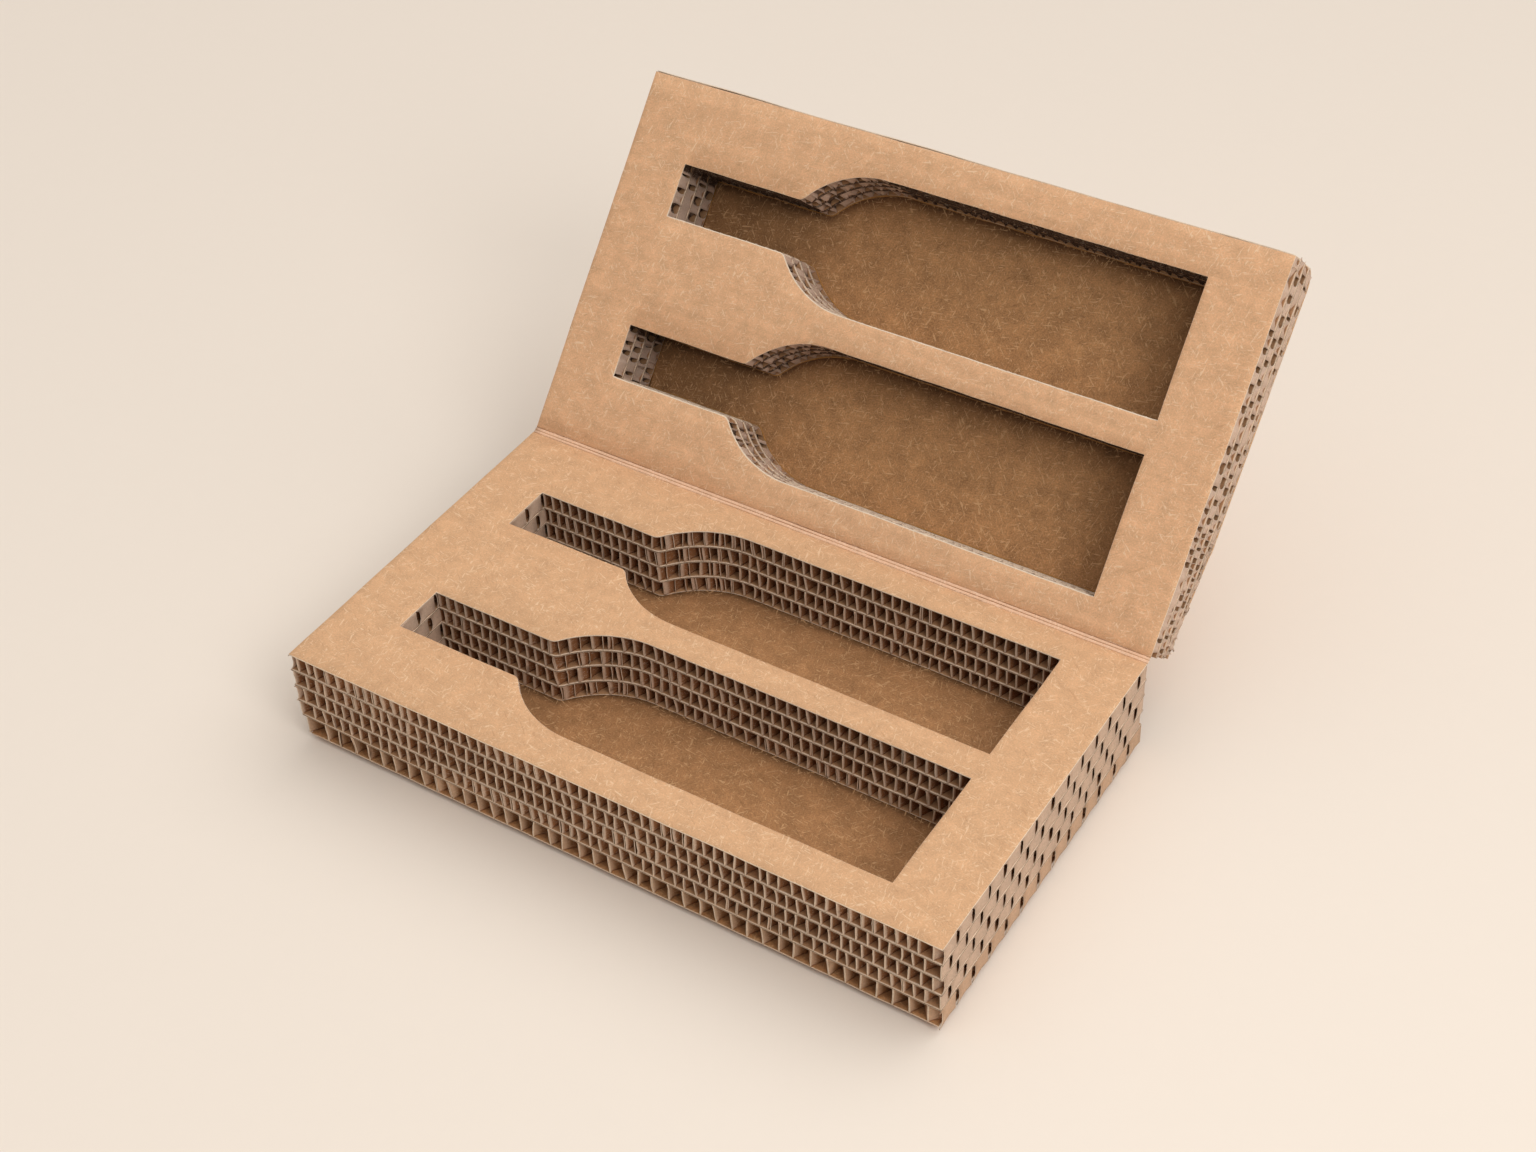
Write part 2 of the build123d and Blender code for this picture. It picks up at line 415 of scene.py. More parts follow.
class NodeTree:
    """A thin hand on a shader node tree: adds nodes, sets their sockets and links them."""

    def __init__(self, tree: bpy.types.NodeTree) -> None:
        """Keeps the tree that nodes go into."""
        self.tree = tree

    def add(self, kind: str, inputs: dict | None = None, **settings: object) -> bpy.types.Node:
        """Adds one node.

        Args:
            kind: The node's type name.
            inputs: Values or sockets by input name or number.
            settings: Attributes of the node, set before its inputs.

        Returns:
            The new node.
        """
        node = self.tree.nodes.new(kind)
        for name, value in settings.items():
            setattr(node, name, value)
        for key, value in (inputs or {}).items():
            if isinstance(value, bpy.types.NodeSocket):
                self.tree.links.new(value, node.inputs[key])
            else:
                node.inputs[key].default_value = value
        return node

    def math(self, operation: str, first: object, second: object = 0.0) -> bpy.types.NodeSocket:
        """One arithmetic step on two numbers or sockets."""
        return self.add("ShaderNodeMath", {0: first, 1: second}, operation=operation).outputs[0]

    def noise(self, place: object, scale: float, detail: float, twist: float = 0.0) -> bpy.types.NodeSocket:
        """Fractal noise of 0 to 1, with scale in waves per metre."""
        inputs = {"Vector": place, "Scale": scale, "Detail": detail, "Roughness": 0.55, "Distortion": twist}
        return self.add("ShaderNodeTexNoise", inputs).outputs["Fac"]

    def sway(self, place: object, scale: float, detail: float, twist: float = 0.0) -> bpy.types.NodeSocket:
        """The same noise centred on nothing, from -0.5 to 0.5."""
        return self.math("SUBTRACT", self.noise(place, scale, detail, twist), 0.5)

    def tinted(self, colour: object, sway: object) -> bpy.types.NodeSocket:
        """A colour scaled by one plus a sway."""
        inputs = {0: colour, "Scale": self.math("ADD", sway, 1.0)}
        return self.add("ShaderNodeVectorMath", inputs, operation="SCALE").outputs[0]

    def ramp(
        self, value: object, low: float, high: float, start: float = 0.0, stop: float = 1.0,
    ) -> bpy.types.NodeSocket:
        """Carries low to high onto start to stop, smoothly and clamped."""
        inputs = {"Value": value, "From Min": low, "From Max": high, "To Min": start, "To Max": stop}
        return self.add("ShaderNodeMapRange", inputs, interpolation_type="SMOOTHSTEP").outputs["Result"]

    def mix(self, share: object, first: object, second: object) -> bpy.types.NodeSocket:
        """Mixes two colours by a share."""
        return self.add("ShaderNodeMix", {0: share, 6: first, 7: second}, data_type="RGBA").outputs[2]

    def drawn(self, place: object, angle: float, stretch: float, offset: float = 0.0) -> bpy.types.NodeSocket:
        """The place turned in the sheet and drawn out along its new first axis."""
        inputs = {
            "Vector": place, "Location": (offset,) * 3, "Rotation": (0.0, 0.0, math.radians(angle)),
            "Scale": (stretch, 1.0, 1.0)}
        return self.add("ShaderNodeMapping", inputs, vector_type="TEXTURE").outputs["Vector"]

    def attribute(self, name: str, output: str) -> bpy.types.NodeSocket:
        """A value that the mesh carries on its points."""
        return self.add("ShaderNodeAttribute", attribute_name=name).outputs[output]


class EffectGroup:
    """Base of the shader node groups: makes the group once, with named inputs and outputs."""

    title = ""
    takes: tuple[tuple[str, str], ...] = ()
    gives: tuple[tuple[str, str], ...] = (("Color", "NodeSocketColor"), ("Height", "NodeSocketFloat"))

    def group(self) -> bpy.types.NodeTree:
        """The group's node tree, built on first use.

        Returns:
            The node tree to place in a material.
        """
        found = bpy.data.node_groups.get(self.title)
        if found:
            return found
        tree = bpy.data.node_groups.new(self.title, "ShaderNodeTree")
        for name, kind in self.takes:
            tree.interface.new_socket(name, in_out="INPUT", socket_type=kind)
        for name, kind in self.gives:
            tree.interface.new_socket(name, in_out="OUTPUT", socket_type=kind)
        hand = NodeTree(tree)
        given = hand.add("NodeGroupInput").outputs
        hand.add("NodeGroupOutput", self.wire(hand, given))
        return tree

    def wire(self, hand: NodeTree, given: bpy.types.bpy_prop_collection) -> dict:
        """Builds the inside of the group and says which socket feeds each output."""
        raise NotImplementedError

    def put(self, hand: NodeTree, inputs: dict) -> bpy.types.Node:
        """Places the group in a material with its own values."""
        return hand.add("ShaderNodeGroup", inputs, node_tree=self.group())


class CloudyPaper(EffectGroup):
    """Soft clouds of 3 to 10 mm and a fine grain, both as a lighter and darker paper."""

    title = "Cloudy paper"
    takes = (
        ("Place", "NodeSocketVector"), ("Paper", "NodeSocketColor"),
        ("Clouds", "NodeSocketFloat"), ("Grain", "NodeSocketFloat"),
    )
    cloud_scale = 105.0
    grain_scale = 1100.0
    curl = 0.4

    def wire(self, hand: NodeTree, given: bpy.types.bpy_prop_collection) -> dict:
        """Scales the paper's colour by one plus clouds plus grain, each centred on nothing."""
        clouds = hand.sway(given["Place"], self.cloud_scale, 4.0, self.curl)
        grain = hand.sway(given["Place"], self.grain_scale, 2.0)
        cloudy = hand.math("MULTIPLY", clouds, given["Clouds"])
        grainy = hand.math("MULTIPLY", grain, given["Grain"])
        return {"Color": hand.tinted(given["Paper"], hand.math("ADD", cloudy, grainy)), "Height": grain}


class KraftFibres(EffectGroup):
    """Short curled fibres at all angles, some lighter and some darker than the paper."""

    title = "Kraft fibres"
    takes = (
        ("Place", "NodeSocketVector"), ("Paper", "NodeSocketColor"), ("Light", "NodeSocketColor"),
        ("Dark", "NodeSocketColor"), ("Amount", "NodeSocketFloat"),
    )
    light_angles = (12.0, 74.0, 131.0)
    dark_angles = (38.0,)
    faint = 0.5
    stretch = 6.0
    scale = 1050.0
    curl = 0.8
    peak = (0.64, 0.72)
    apart = 0.013

    def strands(self, hand: NodeTree, place: object, angles: tuple[float, ...]) -> bpy.types.NodeSocket:
        """Peaks of noises that are drawn out along each angle, so that they read as short strands.

        Args:
            hand: The group's tree.
            place: Where the pattern is read.
            angles: Directions of the strands in the sheet, in degrees.

        Returns:
            A mask of 0 to 1.
        """
        masks = []
        for angle in angles:
            drawn = hand.drawn(place, angle, self.stretch, angle * self.apart)
            masks.append(hand.ramp(hand.noise(drawn, self.scale, 1.0, self.curl), *self.peak))
        total = masks[0]
        for mask in masks[1:]:
            total = hand.math("MAXIMUM", total, mask)
        return total

    def wire(self, hand: NodeTree, given: bpy.types.bpy_prop_collection) -> dict:
        """Lays light strands and then fainter dark strands over the paper."""
        place = given["Place"]
        light = hand.math("MULTIPLY", self.strands(hand, place, self.light_angles), given["Amount"])
        faint = hand.math("MULTIPLY", given["Amount"], self.faint)
        dark = hand.math("MULTIPLY", self.strands(hand, place, self.dark_angles), faint)
        lit = hand.mix(light, given["Paper"], given["Light"])
        return {"Color": hand.mix(dark, lit, given["Dark"]), "Height": hand.math("SUBTRACT", light, dark)}


class BoardStreaks(EffectGroup):
    """Faint streaks along the board, from the paper machine and the cells under the facing."""

    title = "Board streaks"
    takes = (("Place", "NodeSocketVector"), ("Paper", "NodeSocketColor"), ("Amount", "NodeSocketFloat"))
    stretch = 16.0
    scale = 230.0

    def wire(self, hand: NodeTree, given: bpy.types.bpy_prop_collection) -> dict:
        """Scales the colour by a noise that is drawn out along X."""
        streak = hand.sway(hand.drawn(given["Place"], 0.0, self.stretch), self.scale, 3.0)
        sway = hand.math("MULTIPLY", streak, given["Amount"])
        return {"Color": hand.tinted(given["Paper"], sway), "Height": streak}


@dataclass(frozen=True)
class PaperFinish:
    """A kind of paper: its colour, clouds, grain, fibres, streaks and how rough it is.

    Paper with a deep colour darkens towards it as painted shade: from the cut edge into the cells, or where a
    sheet is shaded.
    """

    name: str
    paper: Colour
    light: Colour
    dark: Colour
    # The colour of the painted shade, and the span of the attribute over which the paper darkens towards it.
    deep: Colour | None = None
    deep_span: tuple[float, float] = (0.4, 1.8)
    clouds: float = 0.34
    grain: float = 0.5
    fibres: float = 0.5
    streaks: float = 0.0
    roughness: float = 0.85
    sheen_sway: float = 0.2
    specular: float = 0.25
    relief: float = 0.00008
    fibre_relief: float = 0.3
    streak_relief: float = 10.0

    def material(self) -> bpy.types.Material:
        """The finish as a material on the half's own coordinates, which each point carries, built on first
        use.

        Returns:
            The material.
        """
        found = bpy.data.materials.get(self.name)
        if found:
            return found
        made = bpy.data.materials.new(self.name)
        made.use_nodes = True
        hand = NodeTree(made.node_tree)
        shader = made.node_tree.nodes["Principled BSDF"]
        place = hand.attribute(PLACE, "Vector")
        paper = linear(self.paper)
        # Painted shade: the paper darkens towards the deep colour by the shade attribute that the mesh
        # carries.
        if self.deep:
            share = hand.ramp(hand.attribute(SHADE_ATTRIBUTE, "Fac"), *self.deep_span)
            paper = hand.mix(share, paper, linear(self.deep))
        cloudy = CloudyPaper().put(
            hand, {"Place": place, "Paper": paper, "Clouds": self.clouds, "Grain": self.grain})
        streaky = BoardStreaks().put(
            hand, {"Place": place, "Paper": cloudy.outputs["Color"], "Amount": self.streaks})
        fibrous = KraftFibres().put(hand, {
            "Place": place, "Paper": streaky.outputs["Color"], "Light": linear(self.light),
            "Dark": linear(self.dark), "Amount": self.fibres})
        grain = cloudy.outputs["Height"]
        fibres = hand.math("MULTIPLY", fibrous.outputs["Height"], self.fibre_relief)
        streaks = hand.math("MULTIPLY", streaky.outputs["Height"], self.streaks * self.streak_relief)
        height = hand.math("ADD", hand.math("ADD", grain, fibres), streaks)
        bump = hand.add("ShaderNodeBump", {"Strength": 1.0, "Distance": self.relief, "Height": height})
        rough = hand.math("ADD", hand.math("MULTIPLY", grain, self.sheen_sway), self.roughness)
        links = made.node_tree.links
        links.new(fibrous.outputs["Color"], shader.inputs["Base Color"])
        links.new(bump.outputs["Normal"], shader.inputs["Normal"])
        links.new(rough, shader.inputs["Roughness"])
        shader.inputs["Specular IOR Level"].default_value = self.specular
        return made


@dataclass(frozen=True)
class Finishes:
    """Every paper on the box, named for where it is."""

    face: PaperFinish = PaperFinish(
        "face_paper", (214, 168, 127), (240, 206, 168), (178, 128, 88), clouds=0.42,
        fibres=0.62, streaks=0.14)
    # Painted light: the same face paper made lighter on the lid, as if the lid caught more light.
    lid_face: PaperFinish = PaperFinish(
        "lid_face_paper", (227, 178, 136), (246, 214, 177), (186, 136, 95), clouds=0.48,
        fibres=0.62, streaks=0.24)
    # Painted shade: the lid's floor paper darkens towards its deep colour where the sheet's Shade says.
    floor: PaperFinish = PaperFinish(
        "floor_paper", (188, 138, 92), (222, 176, 128), (142, 98, 62), deep=(104, 70, 42),
        deep_span=(0.0, 1.0), clouds=0.9, grain=1.1, fibres=0.8)
    # Painted shade: the base's floor paper darkens towards its deep colour where the sheet's Shade says.
    tray: PaperFinish = PaperFinish(
        "tray_paper", (168, 121, 80), (206, 162, 116), (126, 88, 54), deep=(92, 62, 36),
        deep_span=(0.0, 1.0), clouds=0.8, grain=1.0, fibres=0.75)
    # Painted shade: the cell walls darken towards their deep colour the further they lie behind a cut.
    wall: PaperFinish = PaperFinish(
        "cell_wall", (204, 174, 150), (220, 194, 172), (174, 144, 122), deep=(146, 99, 63),
        deep_span=(0.4, 1.6), fibres=0.4)
    # Painted shade: the lid's walls darken towards their deep colour deep in the cells and on walls that face
    # the crease.
    lid_wall: PaperFinish = PaperFinish(
        "lid_cell_wall", (210, 181, 160), (224, 199, 180), (180, 151, 130), deep=(78, 58, 44),
        deep_span=(1.6, 3.4), fibres=0.4)
    # Painted shade: the coarse walls darken towards their deep colour the further they lie behind a cut.
    coarse: PaperFinish = PaperFinish(
        "coarse_wall", (200, 164, 134), (218, 186, 158), (170, 136, 108), deep=(150, 106, 68),
        deep_span=(0.6, 4.0), fibres=0.4)
    # Painted shade: cut edges darken towards their deep colour on walls that face the crease.
    edge: PaperFinish = PaperFinish(
        "cut_edge", (232, 210, 184), (244, 228, 208), (206, 178, 148), deep=(84, 62, 46),
        deep_span=(1.0, 3.0), fibres=0.3)
    liner: PaperFinish = PaperFinish(
        "liner_edge", (220, 194, 168), (236, 214, 190), (184, 152, 124), fibres=0.3)
    # Painted shade: the lid's liner edges darken towards their deep colour along the pockets' far walls and
    # at their foot.
    lid_liner: PaperFinish = PaperFinish(
        "lid_liner_edge", (220, 194, 168), (236, 214, 190), (184, 152, 124), deep=(84, 62, 46),
        deep_span=(0.5, 0.9), fibres=0.3)
    inner: PaperFinish = PaperFinish(
        "inner_facing", (176, 133, 96), (198, 158, 120), (148, 108, 76), fibres=0.3)
    groove: PaperFinish = PaperFinish(
        "glue_line", (120, 92, 70), (150, 120, 96), (96, 70, 50), fibres=0.3)
    # Hinge crease paper: pinker than the face paper, and lighter partly as a painted highlight on the raised
    # strip; its deep colour is painted shade in the dips.
    crease: PaperFinish = PaperFinish(
        "hinge_crease", (234, 190, 156), (246, 214, 186), (206, 158, 122), deep=(188, 138, 102),
        deep_span=(0.1, 0.4))
    glue: PaperFinish = PaperFinish(
        "dried_glue", (184, 132, 74), (210, 164, 104), (150, 100, 50), fibres=0.1, roughness=0.45)


FINISHES = Finishes()


@dataclass
class Piece:
    """A mesh of quads in a half's own coordinates, on its way to become an object."""

    name: str
    half: Half
    finishes: tuple[PaperFinish, ...]
    slot: Slot
    replaces: tuple[str, ...] = ()

    def make(self, local: Array, quads: Index, finish: Index, inset: Array | None = None) -> bpy.types.Object:
        """Turns points and quads into an object at the origin, dressed and riding on its body.

        Args:
            local: Points (x, v, d) in mm.
            quads: Four point numbers for each face, outward in right-handed coordinates.
            finish: For each face, which of the finishes it takes.
            inset: For each point, the painted shade: how far it lies behind the nearest cut, in mm, or how
                dark a sheet is.

        Returns:
            The new object.
        """
        used, numbers = np.unique(quads, return_inverse=True)
        quads = numbers.reshape(-1, 4)
        if self.half.mirrored:
            quads = quads[:, ::-1]
        behind = None if inset is None else inset[used]
        made = self.dress(self.half.place(local[used]), local[used], quads, finish, behind)
        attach(made, self.half.body.value)
        return made

    def make_skin(self, middle: Array, half_paper: Array) -> bpy.types.Object:
        """Makes the object from a grid of points with paper thickness.

        Args:
            middle: Middle of the paper over columns and rows, in own coordinates.
            half_paper: Step from the middle to the paper's further side, one for all or one for each point.

        Returns:
            The new object.
        """
        sides = [(middle - half_paper).reshape(-1, 3), (middle + half_paper).reshape(-1, 3)]
        return self.make(np.concatenate(sides), *skin_quads(*middle.shape[:2]))

    def dress(
        self, points: Array, local: Array, quads: Index, finish: Index, inset: Array | None = None,
    ) -> bpy.types.Object:
        """Writes the mesh from whole arrays, gives it materials and hides the solids that it replaces.

        Args:
            points: Places in the model's frame, in metres.
            local: The same points in the half's own coordinates, which the paper's pattern follows.
            quads: Four point numbers for each face.
            finish: For each face, which of the finishes it takes.
            inset: For each point, the painted shade: how far it lies behind the nearest cut, in mm, or how
                dark a sheet is.

        Returns:
            The new object, which rides on nothing yet.
        """
        mesh = bpy.data.meshes.new(self.name)
        mesh.vertices.add(len(points))
        mesh.vertices.foreach_set("co", points.astype(np.float32).ravel())
        mesh.loops.add(quads.size)
        mesh.loops.foreach_set("vertex_index", quads.astype(np.int32).ravel())
        mesh.polygons.add(len(quads))
        mesh.polygons.foreach_set("loop_start", np.arange(0, quads.size, 4, dtype=np.int32))
        mesh.polygons.foreach_set("material_index", finish.astype(np.int32))
        mesh.update(calc_edges=True)
        mesh.validate()
        place = mesh.attributes.new(PLACE, "FLOAT_VECTOR", "POINT")
        place.data.foreach_set("vector", (local * MM).astype(np.float32).ravel())
        if inset is not None:
            depth = mesh.attributes.new(SHADE_ATTRIBUTE, "FLOAT", "POINT")
            depth.data.foreach_set("value", inset.astype(np.float32))
        for paper in self.finishes:
            mesh.materials.append(paper.material())
        made = bpy.data.objects.new(self.name, mesh)
        bpy.context.scene.collection.objects.link(made)
        if self.replaces:
            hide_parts(*self.replaces)
        log.info("%s: %d faces on %s", self.name, len(quads), self.half.body.value)
        return made


@dataclass(frozen=True)
class CellPattern:
    """How honeycomb is expanded: paper ribbons across the board, glued to each neighbour in turn, in mm.

    Settle reach, jitter limit and calm start count in pitches. Upset is the share of glue lines that
    jitter far.
    """

    pitch: float = 3.1
    half_period: float = 8.4
    crowded: float = 8.4
    crowded_to: float = 0.0
    flat: float = 1.4
    paper: float = 0.34
    end_trim: float = 0.27
    end_jitter: float = 0.06
    settle: float = 0.6
    stagger: float = 0.35
    settle_reach: float = 2.0
    beside: float = 6.0
    beside_fade: float = 4.0
    jitter: float = 0.3
    jitter_limit: float = 0.4
    upset: float = 0.04
    upset_times: float = 3.5
    calm_start: float = 1.5
    calm_run: float = 12.0
    offset: float = 1.4
    slow: float = 0.8
    slow_wave: float = 95.0
    drift: float = 1.25
    drift_wave: float = 120.0
    drift_slant: float = 0.4
    lean: float = 0.3
    bow: float = 0.22
    ragged: float = 0.12
    shell: float = 10.5
    levels: tuple[float, ...] = (0.0, 0.1, 0.3, 0.7, 0.9, 1.0)
    straight: tuple[float, ...] = (0.8, 0.9, 0.95, 0.95, 0.9, 0.8)
    curved: tuple[float, ...] = (-0.4, 0.5, 0.85, 0.85, 0.5, -0.4)


@dataclass
class HoneycombCore:
    """One honeycomb core: zigzag ribbons that leave open cells wherever the board is cut."""

    half: Half
    name: str
    nodes: tuple[str, ...]
    slot: Slot
    pattern: CellPattern
    seed: int
    pockets: PocketPlan | None = None
    shift: tuple[float, float] = (0.0, 0.0)
    facing: float = 0.0
    walls: PaperFinish = FINISHES.wall
    # Painted shade on straight pocket walls that face the crease: how much further behind a cut they count,
    # in mm, and its fade and margin.
    dusk: float = 0.0
    dusk_fade: float = 6.0
    dusk_margin: float = 3.0
    low: Array = field(init=False)
    high: Array = field(init=False)

    def __post_init__(self) -> None:
        """Takes the core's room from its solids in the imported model, less a facing under it."""
        extents = [self.half.extent(node) for node in self.nodes]
        self.low = np.min([low for low, _ in extents], axis=0)
        self.high = np.max([high for _, high in extents], axis=0)
        self.high[2] -= self.facing

    def room(self, x: Array, v: Array) -> Array:
        """How far points lie inside the board: within its outline and outside its pockets."""
        room = np.minimum(np.minimum(x - self.low[0], self.high[0] - x), np.minimum(v, self.high[1] - v))
        if self.pockets:
            room = np.minimum(room, -self.pockets.reach(x, v))
        return room

    def toned(self, x: Array, v: Array) -> Array:
        """How far points count as lying behind a cut, for painted shade: their room, plus painted shade on
        walls that face the crease.
        """
        depth = np.maximum(self.room(x, v), 0.0)
        if not (self.pockets and self.dusk):
            return depth
        plan = self.pockets
        behind = np.min([np.abs(v - middle - plan.half_width(x)) for middle in plan.middles], axis=0)
        straight = (x < plan.root - plan.root_radius) | (x > plan.tangent)
        beside = (x > plan.neck_end - self.dusk_margin) & (x < plan.foot + self.dusk_margin)
        return depth + self.dusk * (straight & beside) * np.clip(1.0 - behind / self.dusk_fade, 0.0, 1.0)

    def end_planes(self) -> tuple[tuple[float, int], ...]:
        """The cuts across the bottles in order: where each is, and 1 if it faces +X or -1 if it faces -X."""
        outer = [(self.low[0], -1), (self.high[0], 1)]
        if self.pockets:
            outer += [(self.pockets.neck_end, 1), (self.pockets.foot, -1)]
        return tuple(sorted(outer))

    def settled(self, x: Array, v: Array) -> Array:
        """Planes drawn up to the cuts across the bottles, as a blade presses the last ribbon flat.

        The first plane inside a cut moves to the settle distance from it, and the next ones follow by
        less and less. At the pockets' ends this holds only beside the pockets.

        Args:
            x: Glue planes over planes and rows.
            v: Glue rows over planes and rows.

        Returns:
            The moved planes.
        """
        pattern = self.pattern
        moved = x.copy()
        for cut, way in self.end_planes():
            beside = np.ones_like(v)
            if self.pockets and self.low[0] < cut < self.high[0]:
                half = float(self.pockets.half_width(np.array(cut)))
                apart = np.min([np.abs(v - middle) for middle in self.pockets.middles], axis=0)
                beside = np.clip((half + pattern.beside - apart) / pattern.beside_fade, 0.0, 1.0)
            inside = (cut - x) * way
            held = inside > 0.5 * pattern.pitch
            lead = inside[held].min()
            follow = np.clip(1.0 - (inside - lead) / (pattern.pitch * pattern.settle_reach), 0.0, 1.0)
            moved += way * (lead - pattern.settle) * follow * beside * held
        return moved

    def glue_lines(self, rng: np.random.Generator) -> dict[str, Array]:
        """Where neighbouring ribbons are glued: a lattice of planes along x by rows along v.

        Planes lie one pitch apart and rows one half period apart, spaced so that every cut opens the
        cells: a cut along the bottles meets the middle of a glued flat, and a cut across them trims the
        tips of one ribbon. Slow waves and a jitter move each glue line a little, and a few of them far,
        but ribbons lie flat near a cut across the bottles. Rows may be crowded near the crease.

        Args:
            rng: Source of the jitter.

        Returns:
            Arrays over planes and rows: x, v, lean and bow.
        """
        pattern = self.pattern
        cuts = self.end_planes()
        planes = stations(tuple(x + way * pattern.end_trim for x, way in cuts), pattern.pitch)
        v_cuts = self.pockets.v_cuts(self.high[1]) if self.pockets else (0.0, self.high[1])
        crowded = np.array(v_cuts[1:]) <= pattern.crowded_to
        rows = stations(v_cuts, np.where(crowded, pattern.crowded, pattern.half_period))
        near = np.min(np.abs(planes[:, None] - np.array([x for x, _ in cuts])), axis=1)
        calm = np.tanh(np.maximum(near - pattern.calm_start * pattern.pitch, 0.0) / pattern.calm_run)[:, None]
        grid_x, grid_v = np.meshgrid(planes, rows, indexing="ij")
        slow = rng.uniform(-pattern.offset, pattern.offset)
        slow = slow + pattern.slow * ripple(grid_x, 0.0 * grid_v, pattern.slow_wave, self.seed)
        size = grid_x.shape
        spread = pattern.jitter * np.where(rng.random(size) < pattern.upset, pattern.upset_times, 1.0)
        limit = pattern.jitter_limit * pattern.pitch
        jitter = np.clip(rng.normal(0.0, 1.0, size) * spread, -limit, limit)
        jitter *= pattern.end_jitter + (1.0 - pattern.end_jitter) * calm
        slant = pattern.drift_slant * grid_v
        drift = pattern.drift * ripple(grid_x, slant, pattern.drift_wave, self.seed + 1)
        return {
            "x": self.settled(grid_x, grid_v) + calm * slow + jitter,
            "v": grid_v + drift + rng.normal(0.0, pattern.stagger, size),
            "lean": rng.normal(0.0, pattern.lean, size) * calm,
            "bow": rng.normal(0.0, pattern.bow, size) * calm,
        }

    def ribbons(self, rng: np.random.Generator) -> dict[str, Array]:
        """Corners of every ribbon: at each row it is glued to its right or its left neighbour in turn.

        Args:
            rng: Source of the jitter.

        Returns:
            Arrays over ribbons and corners: x, v, tip (the middle of the flat), lean and bow.
        """
        glue = self.glue_lines(rng)
        count, rows = glue["x"].shape
        ribbon, row = np.meshgrid(np.arange(count - 1), np.arange(rows), indexing="ij")
        right = (ribbon + row + self.seed) % 2
        pick = (ribbon + right, row)
        x = glue["x"][pick] - (right - 0.5) * self.pattern.paper
        tip = glue["v"][pick]
        ends = np.array([-0.5, 0.5]) * self.pattern.flat
        corners = {"x": x, "tip": tip, "lean": glue["lean"][pick], "bow": glue["bow"][pick]}
        corners = {name: np.repeat(value, 2, axis=1) for name, value in corners.items()}
        corners["v"] = (tip[:, :, None] + ends).reshape(len(tip), -1)
        return corners

    def crossings(self, corners: dict[str, Array], first: Array, start_in: Array) -> dict[str, Array]:
        """Where cut segments leave the board, found by halving each segment again and again.

        Args:
            corners: Corner values, flattened.
            first: Number of the first corner of each cut segment.
            start_in: Whether that corner is the one in the board.

        Returns:
            The same values as corners have, at the cuts.
        """
        inner = np.where(start_in, first, first + 1)
        outer = np.where(start_in, first + 1, first)
        near, far = np.zeros(len(first)), np.ones(len(first))
        for _ in range(HALVINGS):
            middle = (near + far) / 2.0
            x, v = (corners[k][inner] * (1.0 - middle) + corners[k][outer] * middle for k in ("x", "v"))
            held = self.room(x, v) > 0.0
            near, far = np.where(held, middle, near), np.where(held, far, middle)
        mixed = {k: value[inner] * (1.0 - near) + value[outer] * near for k, value in corners.items()}
        mixed["tip"] = corners["tip"][outer]
        return mixed

    def build(self) -> bpy.types.Object:
        """Cuts the ribbons to the board's outline and gives them paper thickness.

        Each section of a ribbon is a column of points at all levels, on both sides of the paper. Lean and
        bow move it along x with depth. At a cut across the bottles one side of each opening is straight
        and the other closes towards it at the top and bottom, which leaves slits in the shape of a D.
        Ribbons are left out further behind the cuts than the shell, where nothing shows.

        Returns:
            The core's object.
        """
        rng = np.random.default_rng(self.seed)
        grid = self.ribbons(rng)
        count, corners_each = grid["x"].shape
        corners = {name: value.ravel() for name, value in grid.items()}
        room = self.room(corners["x"], corners["v"]).reshape(count, corners_each)
        held = room > 0.0
        first = np.arange(count * corners_each).reshape(count, corners_each)[:, :-1]
        start_in, stop_in = held[:, :-1], held[:, 1:]
        cut = start_in != stop_in
        added = self.crossings(corners, first[cut], start_in[cut])
        cut_number = np.full(first.shape, -1)
        cut_number[cut] = count * corners_each + np.arange(cut.sum())
        kept = (start_in | stop_in) & (np.minimum(room[:, :-1], room[:, 1:]) < self.pattern.shell)
        beside = np.pad(kept, ((0, 0), (1, 1)))
        open_start = (~start_in | ~beside[:, :-2])[kept]
        open_stop = (~stop_in | ~beside[:, 2:])[kept]
        start = np.where(start_in, first, cut_number)[kept]
        stop = np.where(stop_in, first + 1, cut_number)[kept]
        sections = {name: np.concatenate([corners[name], added[name]]) for name in corners}
        at_cut = np.arange(len(sections["x"])) >= count * corners_each
        planes = np.array([x for x, _ in self.end_planes()])
        at_end = at_cut & (np.min(np.abs(sections["x"][:, None] - planes), axis=1) < CUT_TOUCH)
        points = self.section_points(sections, at_cut, at_end, rng)
        quads, finish = self.faces(start, stop, open_start, open_stop)
        piece = Piece(self.name + "_cells", self.half, (self.walls, FINISHES.edge), self.slot, self.nodes)
        # Painted shade: how far each section lies behind a cut, plus more on walls that face the crease.
        inset = self.toned(sections["x"], sections["v"])
        return piece.make(points, quads, finish, np.repeat(inset, 2 * len(self.pattern.levels)))

